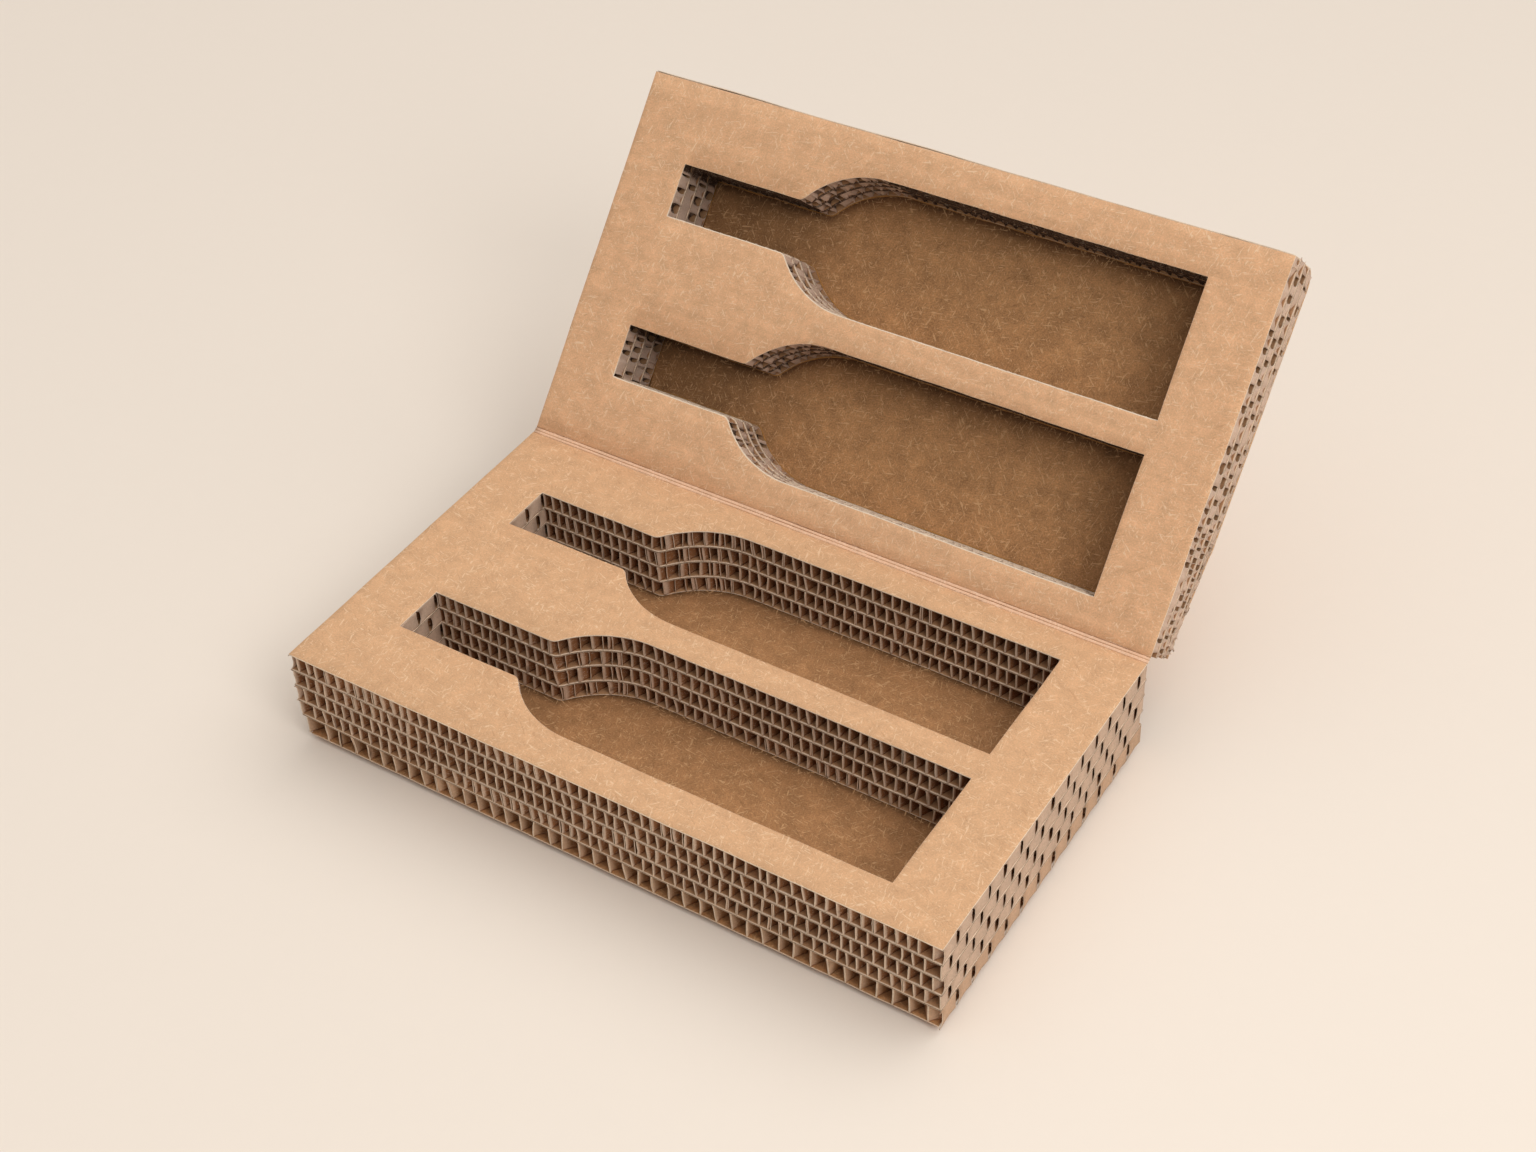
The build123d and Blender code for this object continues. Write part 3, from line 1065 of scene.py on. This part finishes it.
    def section_points(
        self, sections: dict[str, Array], at_cut: Array, at_end: Array, rng: np.random.Generator,
    ) -> Array:
        """Points of all sections, ordered by section, side of the paper and depth.

        Args:
            sections: Values along the ribbons.
            at_cut: Which sections are cut edges.
            at_end: Which of them lie on a cut across the bottles.
            rng: Source of the ragged edges.

        Returns:
            Points (x, v, d) in mm.
        """
        pattern = self.pattern
        level = np.array(pattern.levels)
        across = 2.0 * level - 1.0
        free = ~at_end[:, None]
        x = sections["x"][:, None] + free * (
            sections["lean"][:, None] * across + sections["bow"][:, None] * (1.0 - across**2))
        nearer = (sections["v"] < sections["tip"])[:, None]
        sides = np.where(nearer, np.array(pattern.curved), np.array(pattern.straight))
        closing = np.where(at_end[:, None], sides, 1.0)
        v = sections["tip"][:, None] + (sections["v"] - sections["tip"])[:, None] * closing
        v = v + rng.normal(0.0, pattern.ragged, v.shape) * at_cut[:, None]
        d = np.broadcast_to(self.low[2] + level * (self.high[2] - self.low[2]), x.shape)
        both = [np.stack([x + side * pattern.paper, v, d], axis=2) for side in (-0.5, 0.5)]
        points = np.stack(both, axis=1).reshape(-1, 3)
        return points + np.array([*self.shift, 0.0])

    def faces(self, start: Index, stop: Index, open_start: Array, open_stop: Array) -> tuple[Index, Index]:
        """Quads of the kept segments: both sides, top and bottom, and a cap on each open end.

        Args:
            start: Section that each segment starts at.
            stop: Section that it stops at.
            open_start: Which segments start at a cut or at a dropped segment.
            open_stop: Which segments stop at one.

        Returns:
            The quads, and the finish of each: 0 for walls and 1 for cut edges.
        """
        levels = len(self.pattern.levels)

        def corner(section: Index, side: int, level: Index | int) -> Index:
            """Number of a section's point on one side of the paper at one depth."""
            return (section * 2 + side) * levels + level

        step = np.arange(levels - 1)
        a, b = start[:, None], stop[:, None]
        right = [corner(a, 1, step), corner(b, 1, step), corner(b, 1, step + 1), corner(a, 1, step + 1)]
        left = [corner(a, 0, step + 1), corner(b, 0, step + 1), corner(b, 0, step), corner(a, 0, step)]
        end = levels - 1
        top = [corner(start, 0, 0), corner(stop, 0, 0), corner(stop, 1, 0), corner(start, 1, 0)]
        foot = [corner(start, 1, end), corner(stop, 1, end), corner(stop, 0, end), corner(start, 0, end)]
        c, e = start[open_start][:, None], stop[open_stop][:, None]
        front = [corner(c, 0, step), corner(c, 1, step), corner(c, 1, step + 1), corner(c, 0, step + 1)]
        back = [corner(e, 0, step + 1), corner(e, 1, step + 1), corner(e, 1, step), corner(e, 0, step)]
        walls = np.concatenate([np.stack(q, axis=-1).reshape(-1, 4) for q in (right, left, top, foot)])
        caps = np.concatenate([np.stack(q, axis=-1).reshape(-1, 4) for q in (front, back)])
        finish = np.concatenate([np.zeros(len(walls), int), np.ones(len(caps), int)])
        return np.concatenate([walls, caps]), finish


@dataclass(frozen=True)
class Shade:
    """Painted shade on a sheet in the pockets: darker along one long wall, at the foot and in the necks."""

    pockets: PocketPlan
    side: int = 1
    fade: float = 7.0
    foot: float = 1.0
    foot_fade: float = 14.0
    neck: float = 0.45
    neck_run: float = 70.0
    margin: float = 2.0

    def share(self, x: Array, v: Array) -> Array:
        """How much painted shade the sheet takes, from the greatest of three terms, and nothing beyond the
        pockets' ends.

        The first falls off with the distance from the long wall, the second with that from the foot, and
        the third rises from the shoulders to the necks.

        Args:
            x: Places along the bottle, in mm.
            v: Places across it, in mm from the crease.

        Returns:
            A share of 0 to 1 for each point.
        """
        plan = self.pockets
        half = plan.half_width(x)
        gaps = [np.where(np.abs(v - middle) < half + self.margin, half - self.side * (v - middle), np.inf)
                for middle in plan.middles]
        wall = np.exp(-np.clip(np.min(gaps, axis=0), 0.0, None) / self.fade)
        foot = self.foot * np.exp(-np.clip(plan.foot - x, 0.0, None) / self.foot_fade)
        neck = self.neck * np.clip((plan.tangent - x) / self.neck_run, 0.0, 1.0)
        beside = (x > plan.neck_end - self.margin) & (x < plan.foot + self.margin)
        return beside * np.maximum(np.maximum(wall, foot), neck)


@dataclass
class PaperSheet:
    """A flat facing of the board, with or without pockets: a grid of x by v with a cut edge all round."""

    half: Half
    node: str
    name: str
    slot: Slot
    finishes: tuple[PaperFinish, ...]
    edge: EdgeCut
    seed: int
    pockets: PocketPlan | None = None
    shift: tuple[float, float] = (0.0, 0.0)
    wander: float = 0.1
    waves: tuple[float, float] = (46.0, 38.0)
    plain_grid: tuple[int, int] = (66, 73)
    rows: int = 3
    spike: float = 0.0
    spike_run: float = 2.5
    facing: float = 0.0
    trim: float = 0.0
    underside: int = 0
    bevel: float = 0.0
    bevel_stop: float = 1.0
    shade: Shade | None = None
    low: Array = field(init=False)
    high: Array = field(init=False)

    def __post_init__(self) -> None:
        """Takes the sheet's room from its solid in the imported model, up to the crease.

        A sheet with a facing thickness lies on top of that solid instead, and replaces nothing.
        """
        self.low, self.high = self.half.extent(self.node)
        self.low[1] = max(self.low[1], 0.0)
        self.low[0] += self.trim
        self.high[0] -= self.trim
        if self.facing:
            self.low[2], self.high[2] = self.low[2] - self.facing, self.low[2]

    def grid(self) -> tuple[Array, Array, Array]:
        """The sheet in plan: bands of rows between its edges and pockets, which follow the pockets' width.

        Returns:
            x and v over columns and rows, and which quads are board.
        """
        if self.pockets is None:
            x, v = (np.linspace(self.low[i], self.high[i], count) for i, count in enumerate(self.plain_grid))
            grid_x, grid_v = np.meshgrid(x, v, indexing="ij")
            return grid_x, grid_v, np.ones((len(x) - 1, len(v) - 1), bool)
        x = self.pockets.columns(self.low[0], self.high[0])
        half = self.pockets.half_width(x)
        near, far = self.pockets.middles
        edges = [np.full_like(x, self.low[1]), near - half, near + half, far - half, far + half,
                 np.full_like(x, self.high[1])]
        share = np.arange(self.rows) / self.rows
        bands = [a[:, None] + (b - a)[:, None] * share for a, b in zip(edges[:-1], edges[1:])]
        grid_v = np.concatenate([*bands, edges[-1][:, None]], axis=1)
        grid_x = np.broadcast_to(x[:, None], grid_v.shape)
        column = (x[:-1] + x[1:]) / 2.0
        in_pocket = (column > self.pockets.neck_end) & (column < self.pockets.foot)
        band = np.arange(grid_v.shape[1] - 1) // self.rows
        return grid_x, grid_v, ~(in_pocket[:, None] & (band % 2 == 1)[None, :])

    def build(self) -> bpy.types.Object:
        """Gives the plan its thickness and a cut edge.

        The plan wanders by a smooth noise, so that no edge is dead straight. Top and bottom are the plan
        at two depths, and the edge carries its profile round every boundary of the kept quads. A bevel
        draws the top back from the pockets' edges that face away from the crease. A spike draws out the
        left corner at the free edge.

        Returns:
            The sheet's object.
        """
        grid_x, grid_v, keep = self.grid()
        under = grid_quads(*grid_x.shape)[keep]
        x = (grid_x + self.wander * ripple(grid_x, grid_v, self.waves[0], self.seed)).ravel()
        v = (grid_v + self.wander * ripple(grid_x, grid_v, self.waves[1], self.seed + 1)).ravel()
        flat_x, flat_v = grid_x.ravel(), grid_v.ravel()
        a, b = boundary(under, x.size)
        out = self.outward(a, b, x, v)
        from_corner = np.hypot(flat_x - self.low[0], flat_v - self.high[1])
        reach = self.spike * np.exp(-from_corner / self.spike_run)
        x, v = x + reach * out[:, 0], v + reach * out[:, 1]
        top, thick = self.low[2], self.high[2] - self.low[2]
        profile = self.edge.value
        slant = self.bevel * np.clip(out[:, 1], 0.0, 1.0) * (flat_v < self.high[1] - self.bevel_stop)
        insets = [(t, s + slant * (1.0 - t)) for t, s in profile]
        layers = [np.stack([x - s * out[:, 0], v - s * out[:, 1], np.full_like(x, top + t * thick)], axis=1)
                  for t, s in insets]
        points = np.concatenate(layers) + np.array([*self.shift, 0.0])
        over = under[:, ::-1]
        foot = under + (len(profile) - 1) * x.size
        level = np.arange(len(profile) - 1)[:, None] * x.size
        first, second = a + level, b + level
        wall = np.stack([first, second, second + x.size, first + x.size], axis=-1).reshape(-1, 4)
        folded = np.maximum(flat_v[a], flat_v[b]) < self.low[1] + TOUCH
        wall_finish = np.where(self.edge.grooves[:, None], 2, np.where(folded, 0, 1)).ravel()
        quads = np.concatenate([over, foot, wall])
        finish = np.concatenate([np.zeros(len(under), int), np.full(len(under), self.underside), wall_finish])
        piece = Piece(self.name, self.half, self.finishes, self.slot, () if self.facing else (self.node,))
        # Painted shade on the sheet along the pockets' walls, foot and necks, where it has a Shade.
        dark = self.shade.share(flat_x, flat_v) if self.shade else np.zeros(x.size)
        return piece.make(points, quads, finish, np.tile(dark, len(profile)))

    @staticmethod
    def outward(a: Index, b: Index, x: Array, v: Array) -> Array:
        """Unit vectors in plan that point out of the board at each boundary point, and nothing elsewhere."""
        across = np.stack([v[b] - v[a], x[a] - x[b]], axis=1)
        across /= np.linalg.norm(across, axis=1, keepdims=True)
        total = np.zeros((x.size, 2))
        np.add.at(total, a, across)
        np.add.at(total, b, across)
        length = np.linalg.norm(total, axis=1, keepdims=True)
        return total / np.maximum(length, 1e-9)


@dataclass
class FlutedCore:
    """The thin core behind the lid: one paper in waves along v, carried along x."""

    half: Lid
    node: str
    wave: float = 6.4
    steps: int = 8
    x_counts: tuple[int, int] = (9, 19)
    paper: float = 0.4
    trim: float = 1.2
    top_gap: float = 1.0
    uneven: float = 0.5
    uneven_wave: float = 70.0
    seed: int = 77

    def build(self) -> bpy.types.Object:
        """Sweeps a sine wave that fills the core's depth along the board.

        The middle line is d = middle + amplitude * sin(2 pi v / wave + a smooth noise), and the paper lies
        half its thickness to either side of it.

        Returns:
            The core's object.
        """
        low, high = self.half.extent(self.node)
        x = two_runs(low[0] + self.trim, high[0] - self.trim, self.half.fine_x, self.x_counts)
        v = np.arange(max(low[1], 0.0), high[1] - self.top_gap, self.wave / self.steps)
        grid_x, grid_v = np.meshgrid(x, v, indexing="ij")
        swell = (high[2] - low[2] - self.paper) / 2.0
        phase = self.uneven * ripple(grid_x, grid_v, self.uneven_wave, self.seed)
        d = (low[2] + high[2]) / 2.0 + swell * np.sin(2.0 * np.pi * grid_v / self.wave + phase)
        papers = (FINISHES.wall, FINISHES.edge)
        piece = Piece(self.node + "_flutes", self.half, papers, Slot.LINER, (self.node,))
        return piece.make_skin(np.stack([grid_x, grid_v, d], axis=-1), np.array([0.0, 0.0, self.paper / 2.0]))


@dataclass
class BackCover:
    """The kraft sheet behind the lid, folded over its top edge."""

    half: Lid
    node: str
    trim: float = 1.0
    paper: float = 0.6
    x_counts: tuple[int, int] = (30, 26)
    up_counts: tuple[int, int] = (34, 24)
    arc_count: int = 14
    swell: float = 0.35
    swell_wave: float = 120.0
    seed: int = 91

    def build(self) -> bpy.types.Object:
        """Carries a profile along x: up the back, round a quarter circle and forward over the top edge.

        The profile has the round edge in it, so the lid's own wear leaves that edge out here. A smooth
        noise moves the sheet in and out.

        Returns:
            The cover's object.
        """
        low, high = self.half.extent(self.node)
        lid = self.half
        half_paper = self.paper / 2.0
        x = two_runs(low[0] + self.trim, high[0] - self.trim, lid.fine_x, self.x_counts)
        top, back = lid.depth - lid.edge_radius, lid.thick - lid.edge_radius
        up = two_runs(0.0, top, lid.fine_v, self.up_counts)
        angle = np.linspace(0.0, np.pi / 2.0, self.arc_count)[1:]
        radius = lid.edge_radius - half_paper
        over = np.linspace(back, 0.0, self.arc_count)[1:]
        v = np.concatenate([up, top + radius * np.sin(angle), np.full_like(over, lid.depth - half_paper)])
        d = np.concatenate([np.full_like(up, lid.thick - half_paper), back + radius * np.cos(angle), over])
        out_v = np.concatenate([np.zeros_like(up), np.sin(angle), np.ones_like(over)])
        out_d = np.concatenate([np.ones_like(up), np.cos(angle), np.zeros_like(over)])
        grid_x, grid_v = np.meshgrid(x, v, indexing="ij")
        grid_d = np.broadcast_to(d, grid_v.shape)
        swell = self.swell * ripple(grid_x, grid_v + grid_d, self.swell_wave, self.seed)
        middle = np.stack([grid_x, grid_v + swell * out_v, grid_d + swell * out_d], axis=-1)
        step = np.stack([np.zeros_like(v), out_v, out_d], axis=-1) * half_paper
        papers = (FINISHES.face, FINISHES.edge)
        piece = Piece(self.node + "_cover", LidCover(**vars(lid)), papers, Slot.FACE, (self.node,))
        return piece.make_skin(middle, step[None, :, :])


@dataclass
class HingeStrip:
    """The creased strip of the face sheet that joins the halves, bent about the hinge's axis."""

    base: Half
    lid: Half
    paper: float = 0.6
    rise: float = 0.6
    groove: float = 0.5
    fold: float = 0.045
    creases: tuple[float, float, float] = (0.07, 0.52, 0.93)
    stray: float = 0.03
    stray_wave: float = 140.0
    uneven: float = 0.3
    uneven_wave: float = 60.0
    uneven_across: float = 40.0
    grid: tuple[int, int] = (66, 41)
    seed: int = 55

    def build(self) -> bpy.types.Object:
        """Carries the strip's profile along x and bends it by its share of the lid's swing.

        Across the strip, share s runs from 0 at the base's crease to 1 at the lid's. The surface rises by
        rise * sin(pi s)^2 and dips by groove at both creases and in the middle, and each point turns about
        the axis by the smooth step of s times the swing. The paper is darker in the dips, as painted shade.

        Returns:
            The strip's object, bent once by the lid's swing and riding on neither body.
        """
        low, high = self.base.extent("base_face_sheet")
        columns, rows = self.grid
        x, share = np.linspace(low[0], high[0], columns), np.linspace(0.0, 1.0, rows)
        width = self.lid.crease - self.base.crease
        grid_x, s = np.meshgrid(x, share, indexing="ij")
        first, middle, last = self.creases
        middle = middle + self.stray * ripple(grid_x, 0.0 * s, self.stray_wave, self.seed + 1)
        dip = sum(np.exp(-(((s - at) / self.fold) ** 2)) for at in (first, middle, last))
        dip = dip * (1.0 + self.uneven * ripple(grid_x, self.uneven_across * s, self.uneven_wave, self.seed))
        lift = self.rise * np.sin(np.pi * s) ** 2 - self.groove * dip
        bend = s * s * (3.0 - 2.0 * s) * self.lid.swing
        sides = []
        for drop in (0.0, self.paper):
            y, z = self.lid.turn(self.base.crease + width * s, self.base.face + lift - drop, bend)
            sides.append(np.stack([grid_x, y, z], axis=-1).reshape(-1, 3) * MM)
        quads, finish = skin_quads(columns, rows)
        piece = Piece("hinge_strip", self.base, (FINISHES.crease, FINISHES.edge), Slot.FACE)
        flat = np.stack([grid_x, -width * s, 0.0 * s], axis=-1).reshape(-1, 3)
        # Painted shade in the dips of the creases.
        inset = np.tile(self.groove * dip.ravel(), 2)
        made = piece.dress(np.concatenate(sides), np.concatenate([flat, flat]), quads[:, ::-1], finish, inset)
        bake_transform(made)
        return made


@dataclass
class GlueBead:
    """Dried glue along the foot of the lid's pocket walls."""

    half: Half
    pockets: PocketPlan
    floor: float
    size: float = 0.55
    gap: float = 0.1
    uneven: float = 0.5
    wave: float = 24.0
    arc_count: int = 5
    seed: int = 61

    def build(self) -> list[bpy.types.Object]:
        """Carries a small quarter-round section round each pocket, thicker and thinner by turns.

        Returns:
            One bead for each pocket.
        """
        made = []
        for order, middle in enumerate(self.pockets.middles):
            path = self.pockets.outline(middle, self.gap)
            ahead, behind = np.roll(path, -1, axis=0), np.roll(path, 1, axis=0)
            along = ahead - behind
            along /= np.linalg.norm(along, axis=1, keepdims=True)
            inward = np.stack([-along[:, 1], along[:, 0]], axis=1)
            swell = self.size * (1.0 + self.uneven * ripple(*path.T, self.wave, self.seed + order))
            angle = np.linspace(0.0, np.pi / 2.0, self.arc_count)
            out = np.concatenate([[0.0], np.cos(angle)])
            rise = np.concatenate([[0.0], np.sin(angle)])
            plan = path[:, None, :] + (swell[:, None] * out)[:, :, None] * inward[:, None, :]
            depth = self.floor - swell[:, None] * rise
            points = np.concatenate([plan, depth[:, :, None]], axis=2)
            count, sides = points.shape[:2]
            number = np.arange(count * sides).reshape(count, sides)
            on, round_ = np.roll(number, -1, axis=0), np.roll(number, -1, axis=1)
            both = np.roll(on, -1, axis=1)
            quads = np.stack([number, round_, both, on], axis=-1).reshape(-1, 4)
            piece = Piece(f"lid_glue_bead_{order + 1}", self.half, (FINISHES.glue,), Slot.FLOOR)
            made.append(piece.make(points.reshape(-1, 3), quads, np.zeros(len(quads), int)))
        return made


@dataclass
class BoardStack:
    """The layers of one half, from its face down, each a little out of line with the next."""

    half: Half
    pockets: PocketPlan
    fine: CellPattern
    seed: int
    core_parts: tuple[str, ...] = ("",)
    upsets: tuple[float, ...] = (0.02, 0.05, 0.14, 0.16)
    facing: float = 0.5
    slack: tuple[float, float] = (0.12, 0.22)
    trim: float = 0.2
    # Painted shade on the core walls that face the crease, in mm.
    dusk: float = 0.0
    bevel: float = 0.0
    papers: tuple[PaperFinish, PaperFinish] = (FINISHES.face, FINISHES.tray)
    walls: PaperFinish = FINISHES.wall
    edges: PaperFinish = FINISHES.liner
    shade: Shade | None = None

    def build(self) -> None:
        """Builds the face sheet, the cores with their liners, and the floor."""
        body = self.half.body.value
        rng = np.random.default_rng(self.seed)
        layers = len(self.upsets)
        shifts = rng.uniform(-1.0, 1.0, (layers + 1, 2)) * np.array(self.slack)
        lines = (FINISHES.inner, self.edges, FINISHES.groove)
        PaperSheet(
            self.half, f"{body}_face_sheet", f"{body}_face", Slot.FACE, (self.papers[0], FINISHES.edge),
            EdgeCut.SINGLE, self.seed + SeedStep.FACE, self.pockets, wander=0.12, bevel=self.bevel).build()
        for number, upset in enumerate(self.upsets, start=1):
            here = tuple(shifts[number])
            name = f"{body}_core_{number}"
            HoneycombCore(
                self.half, name, tuple(name + part for part in self.core_parts), Slot.FINE,
                replace(self.fine, upset=upset), self.seed + number, self.pockets, here,
                self.facing if number == layers else 0.0, self.walls, self.dusk).build()
            if number < layers:
                PaperSheet(
                    self.half, f"{body}_liner_{number}", f"{body}_liner_{number}_pair", Slot.LINER,
                    lines, EdgeCut.DOUBLE, self.seed + SeedStep.LINER + number, self.pockets, here,
                    spike=0.5, shade=self.shade).build()
        floor = f"{body}_floor_sheet"
        PaperSheet(
            self.half, floor, f"{body}_last_facing", Slot.LINER, lines, EdgeCut.SINGLE,
            self.seed + SeedStep.FACING, self.pockets, tuple(shifts[-1]), facing=self.facing,
            trim=self.trim).build()
        PaperSheet(
            self.half, floor, f"{body}_floor", Slot.FLOOR, (self.papers[1], FINISHES.liner, FINISHES.groove),
            EdgeCut.DOUBLE, self.seed + SeedStep.FLOOR, trim=self.trim, underside=2, shade=self.shade).build()


@dataclass
class BottleBox:
    """The whole box: two stacks of board, what is under and behind them, and the hinge."""

    pockets: PocketPlan = field(default_factory=PocketPlan)
    lid_cells: CellPattern = CellPattern(
        half_period=5.2, crowded=3.5, crowded_to=75.0, flat=1.3, end_trim=0.7, end_jitter=0.9, settle=1.5,
        stagger=0.9, settle_reach=4.0, jitter=0.55, shell=6.0, straight=(0.8, 0.95, 1.0, 1.0, 0.95, 0.8),
        curved=(0.2, 0.75, 1.0, 1.0, 0.75, 0.2))
    coarse_cells: CellPattern = CellPattern(
        pitch=4.55, flat=2.2, paper=0.45, end_trim=0.33, settle=0.7, jitter=0.35, lean=0.45, bow=0.3)

    def halves(self) -> tuple[Half, Lid]:
        """The two halves' own coordinates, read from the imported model."""
        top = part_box("base_face_sheet")[1].z / MM
        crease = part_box("base_core_1")[1].y / MM
        joint = frame["joints"][0]
        axis = tuple(value / MM for value in joint["pos_m"][1:])
        swing = -math.radians(joint["range_deg"][0])
        base = Half(Body.BASE, crease, top, -1, axis)
        unworn = Half(Body.LID, 2.0 * axis[0] - crease, top, 1, axis, swing)
        right, depth, thick = unworn.extent("lid_back_sheet")[1].tolist()
        return base, Lid(**vars(unworn), right=right, depth=depth, thick=thick)

    def build(self) -> None:
        """Builds every piece."""
        base, lid = self.halves()
        # The base's floor takes painted shade along the pocket walls nearest the crease.
        BoardStack(
            base, self.pockets, CellPattern(), seed=10,
            shade=Shade(self.pockets, side=-1, fade=3.5, foot=0.3, neck=0.3)).build()
        HoneycombCore(
            base, "base_bottom_core", ("base_bottom_core",), Slot.COARSE, self.coarse_cells, seed=31,
            walls=FINISHES.coarse).build()
        PaperSheet(
            base, "base_bottom_sheet", "base_bottom", Slot.LINER, (FINISHES.tray, FINISHES.liner),
            EdgeCut.SINGLE, seed=33, trim=1.3).build()
        # The lid takes painted shade on walls that face the crease, on its floor and on its liner edges.
        BoardStack(
            lid, self.pockets, self.lid_cells, seed=110, core_parts=("_necks", "_bodies"), trim=1.2, dusk=6.0,
            bevel=0.6, papers=(FINISHES.lid_face, FINISHES.floor), walls=FINISHES.lid_wall,
            edges=FINISHES.lid_liner, shade=Shade(self.pockets)).build()
        FlutedCore(lid, "lid_back_core").build()
        BackCover(lid, "lid_back_sheet").build()
        HingeStrip(base, lid).build()
        GlueBead(lid, self.pockets, lid.extent("lid_floor_sheet")[0][2]).build()


@dataclass
class Studio:
    """A pale seamless floor, soft light from the upper right, and the camera, in mm and degrees."""

    floor_colour: Colour = (239, 226, 212)
    floor_clouds: float = 0.012
    floor_roughness: float = 0.9
    floor_specular: float = 0.1
    camera_place: tuple[float, float, float] = (510.22, -703.53, 883.74)
    camera_aim: tuple[float, float, float] = (-0.41749, 0.62056, -0.66378)
    camera_roll: float = -2.773
    lens: float = 54.293
    sensor: float = 36.0
    floor_half: float = 6000.0
    floor_drop: float = 4.0
    key_from: tuple[float, float, float] = (0.38, 0.46, 1.0)
    key_spread: float = 62.0
    key_power: float = 1.08
    glow_place: tuple[float, float, float] = (1500.0, -650.0, 1500.0)
    glow_size: float = 1100.0
    glow_power: float = 13.0
    sky_colour: tuple[float, float, float, float] = (1.0, 0.985, 0.965, 1.0)
    sky_top: float = 0.76
    sky_low: float = 0.11

    def build(self) -> None:
        """Makes the floor, the lights and the camera."""
        self.make_floor()
        self.make_light()
        self.make_sky()
        self.make_camera()

    def make_floor(self) -> None:
        """One large quad just under the box, with faint clouds."""
        mesh = bpy.data.meshes.new("floor")
        half, low = self.floor_half * MM, -self.floor_drop * MM
        corners = [(-half, -half, low), (half, -half, low), (half, half, low), (-half, half, low)]
        mesh.from_pydata(corners, [], [(0, 1, 2, 3)])
        floor = bpy.data.objects.new("floor", mesh)
        bpy.context.scene.collection.objects.link(floor)
        made = bpy.data.materials.new("pale_floor")
        made.use_nodes = True
        hand = NodeTree(made.node_tree)
        shader = made.node_tree.nodes["Principled BSDF"]
        place = hand.add("ShaderNodeTexCoord").outputs["Object"]
        cloudy = CloudyPaper().put(hand, {
            "Place": place, "Paper": linear(self.floor_colour), "Clouds": self.floor_clouds, "Grain": 0.0})
        made.node_tree.links.new(cloudy.outputs["Color"], shader.inputs["Base Color"])
        shader.inputs["Roughness"].default_value = self.floor_roughness
        shader.inputs["Specular IOR Level"].default_value = self.floor_specular
        mesh.materials.append(made)

    def make_light(self) -> None:
        """A wide soft key from the upper right, and a weak glow on the floor at the near right."""
        key = bpy.data.lights.new("key", "SUN")
        key.angle = math.radians(self.key_spread)
        key.energy = self.key_power
        glow = bpy.data.lights.new("glow", "AREA")
        glow.shape = "DISK"
        glow.size = self.glow_size * MM
        glow.energy = self.glow_power
        for lamp, place in ((key, Vector(self.key_from)), (glow, Vector(self.glow_place) * MM)):
            made = bpy.data.objects.new(lamp.name, lamp)
            made.location = place
            made.rotation_euler = (-place).to_track_quat("-Z", "Y").to_euler()
            bpy.context.scene.collection.objects.link(made)

    def make_sky(self) -> None:
        """A pale sky that is brightest overhead."""
        world = bpy.data.worlds.new("sky")
        world.use_nodes = True
        hand = NodeTree(world.node_tree)
        way = hand.add("ShaderNodeTexCoord").outputs["Generated"]
        height = hand.add("ShaderNodeSeparateXYZ", {0: way}).outputs["Z"]
        strength = hand.ramp(height, 0.0, 1.0, self.sky_low, self.sky_top)
        background = world.node_tree.nodes["Background"]
        background.inputs["Color"].default_value = self.sky_colour
        world.node_tree.links.new(strength, background.inputs["Strength"])
        bpy.context.scene.world = world

    def make_camera(self) -> None:
        """The camera at the viewing angle, with its roll."""
        lens = bpy.data.cameras.new("camera")
        lens.lens = self.lens
        lens.sensor_width = self.sensor
        camera = bpy.data.objects.new("camera", lens)
        camera.location = Vector(self.camera_place) * MM
        aim = Vector(self.camera_aim).to_track_quat("-Z", "Y").to_matrix()
        roll = Matrix.Rotation(math.radians(self.camera_roll), 3, "Z")
        camera.rotation_euler = (aim @ roll).to_euler()
        bpy.context.scene.collection.objects.link(camera)
        bpy.context.scene.camera = camera
        bpy.context.scene.view_settings.view_transform = "Standard"


def main() -> None:
    """Builds the box and the studio, with logging that gives each piece's face count."""
    logging.basicConfig(level=logging.INFO, format="%(name)s: %(message)s")
    BottleBox().build()
    Studio().build()


if __name__ == "__main__":
    main()
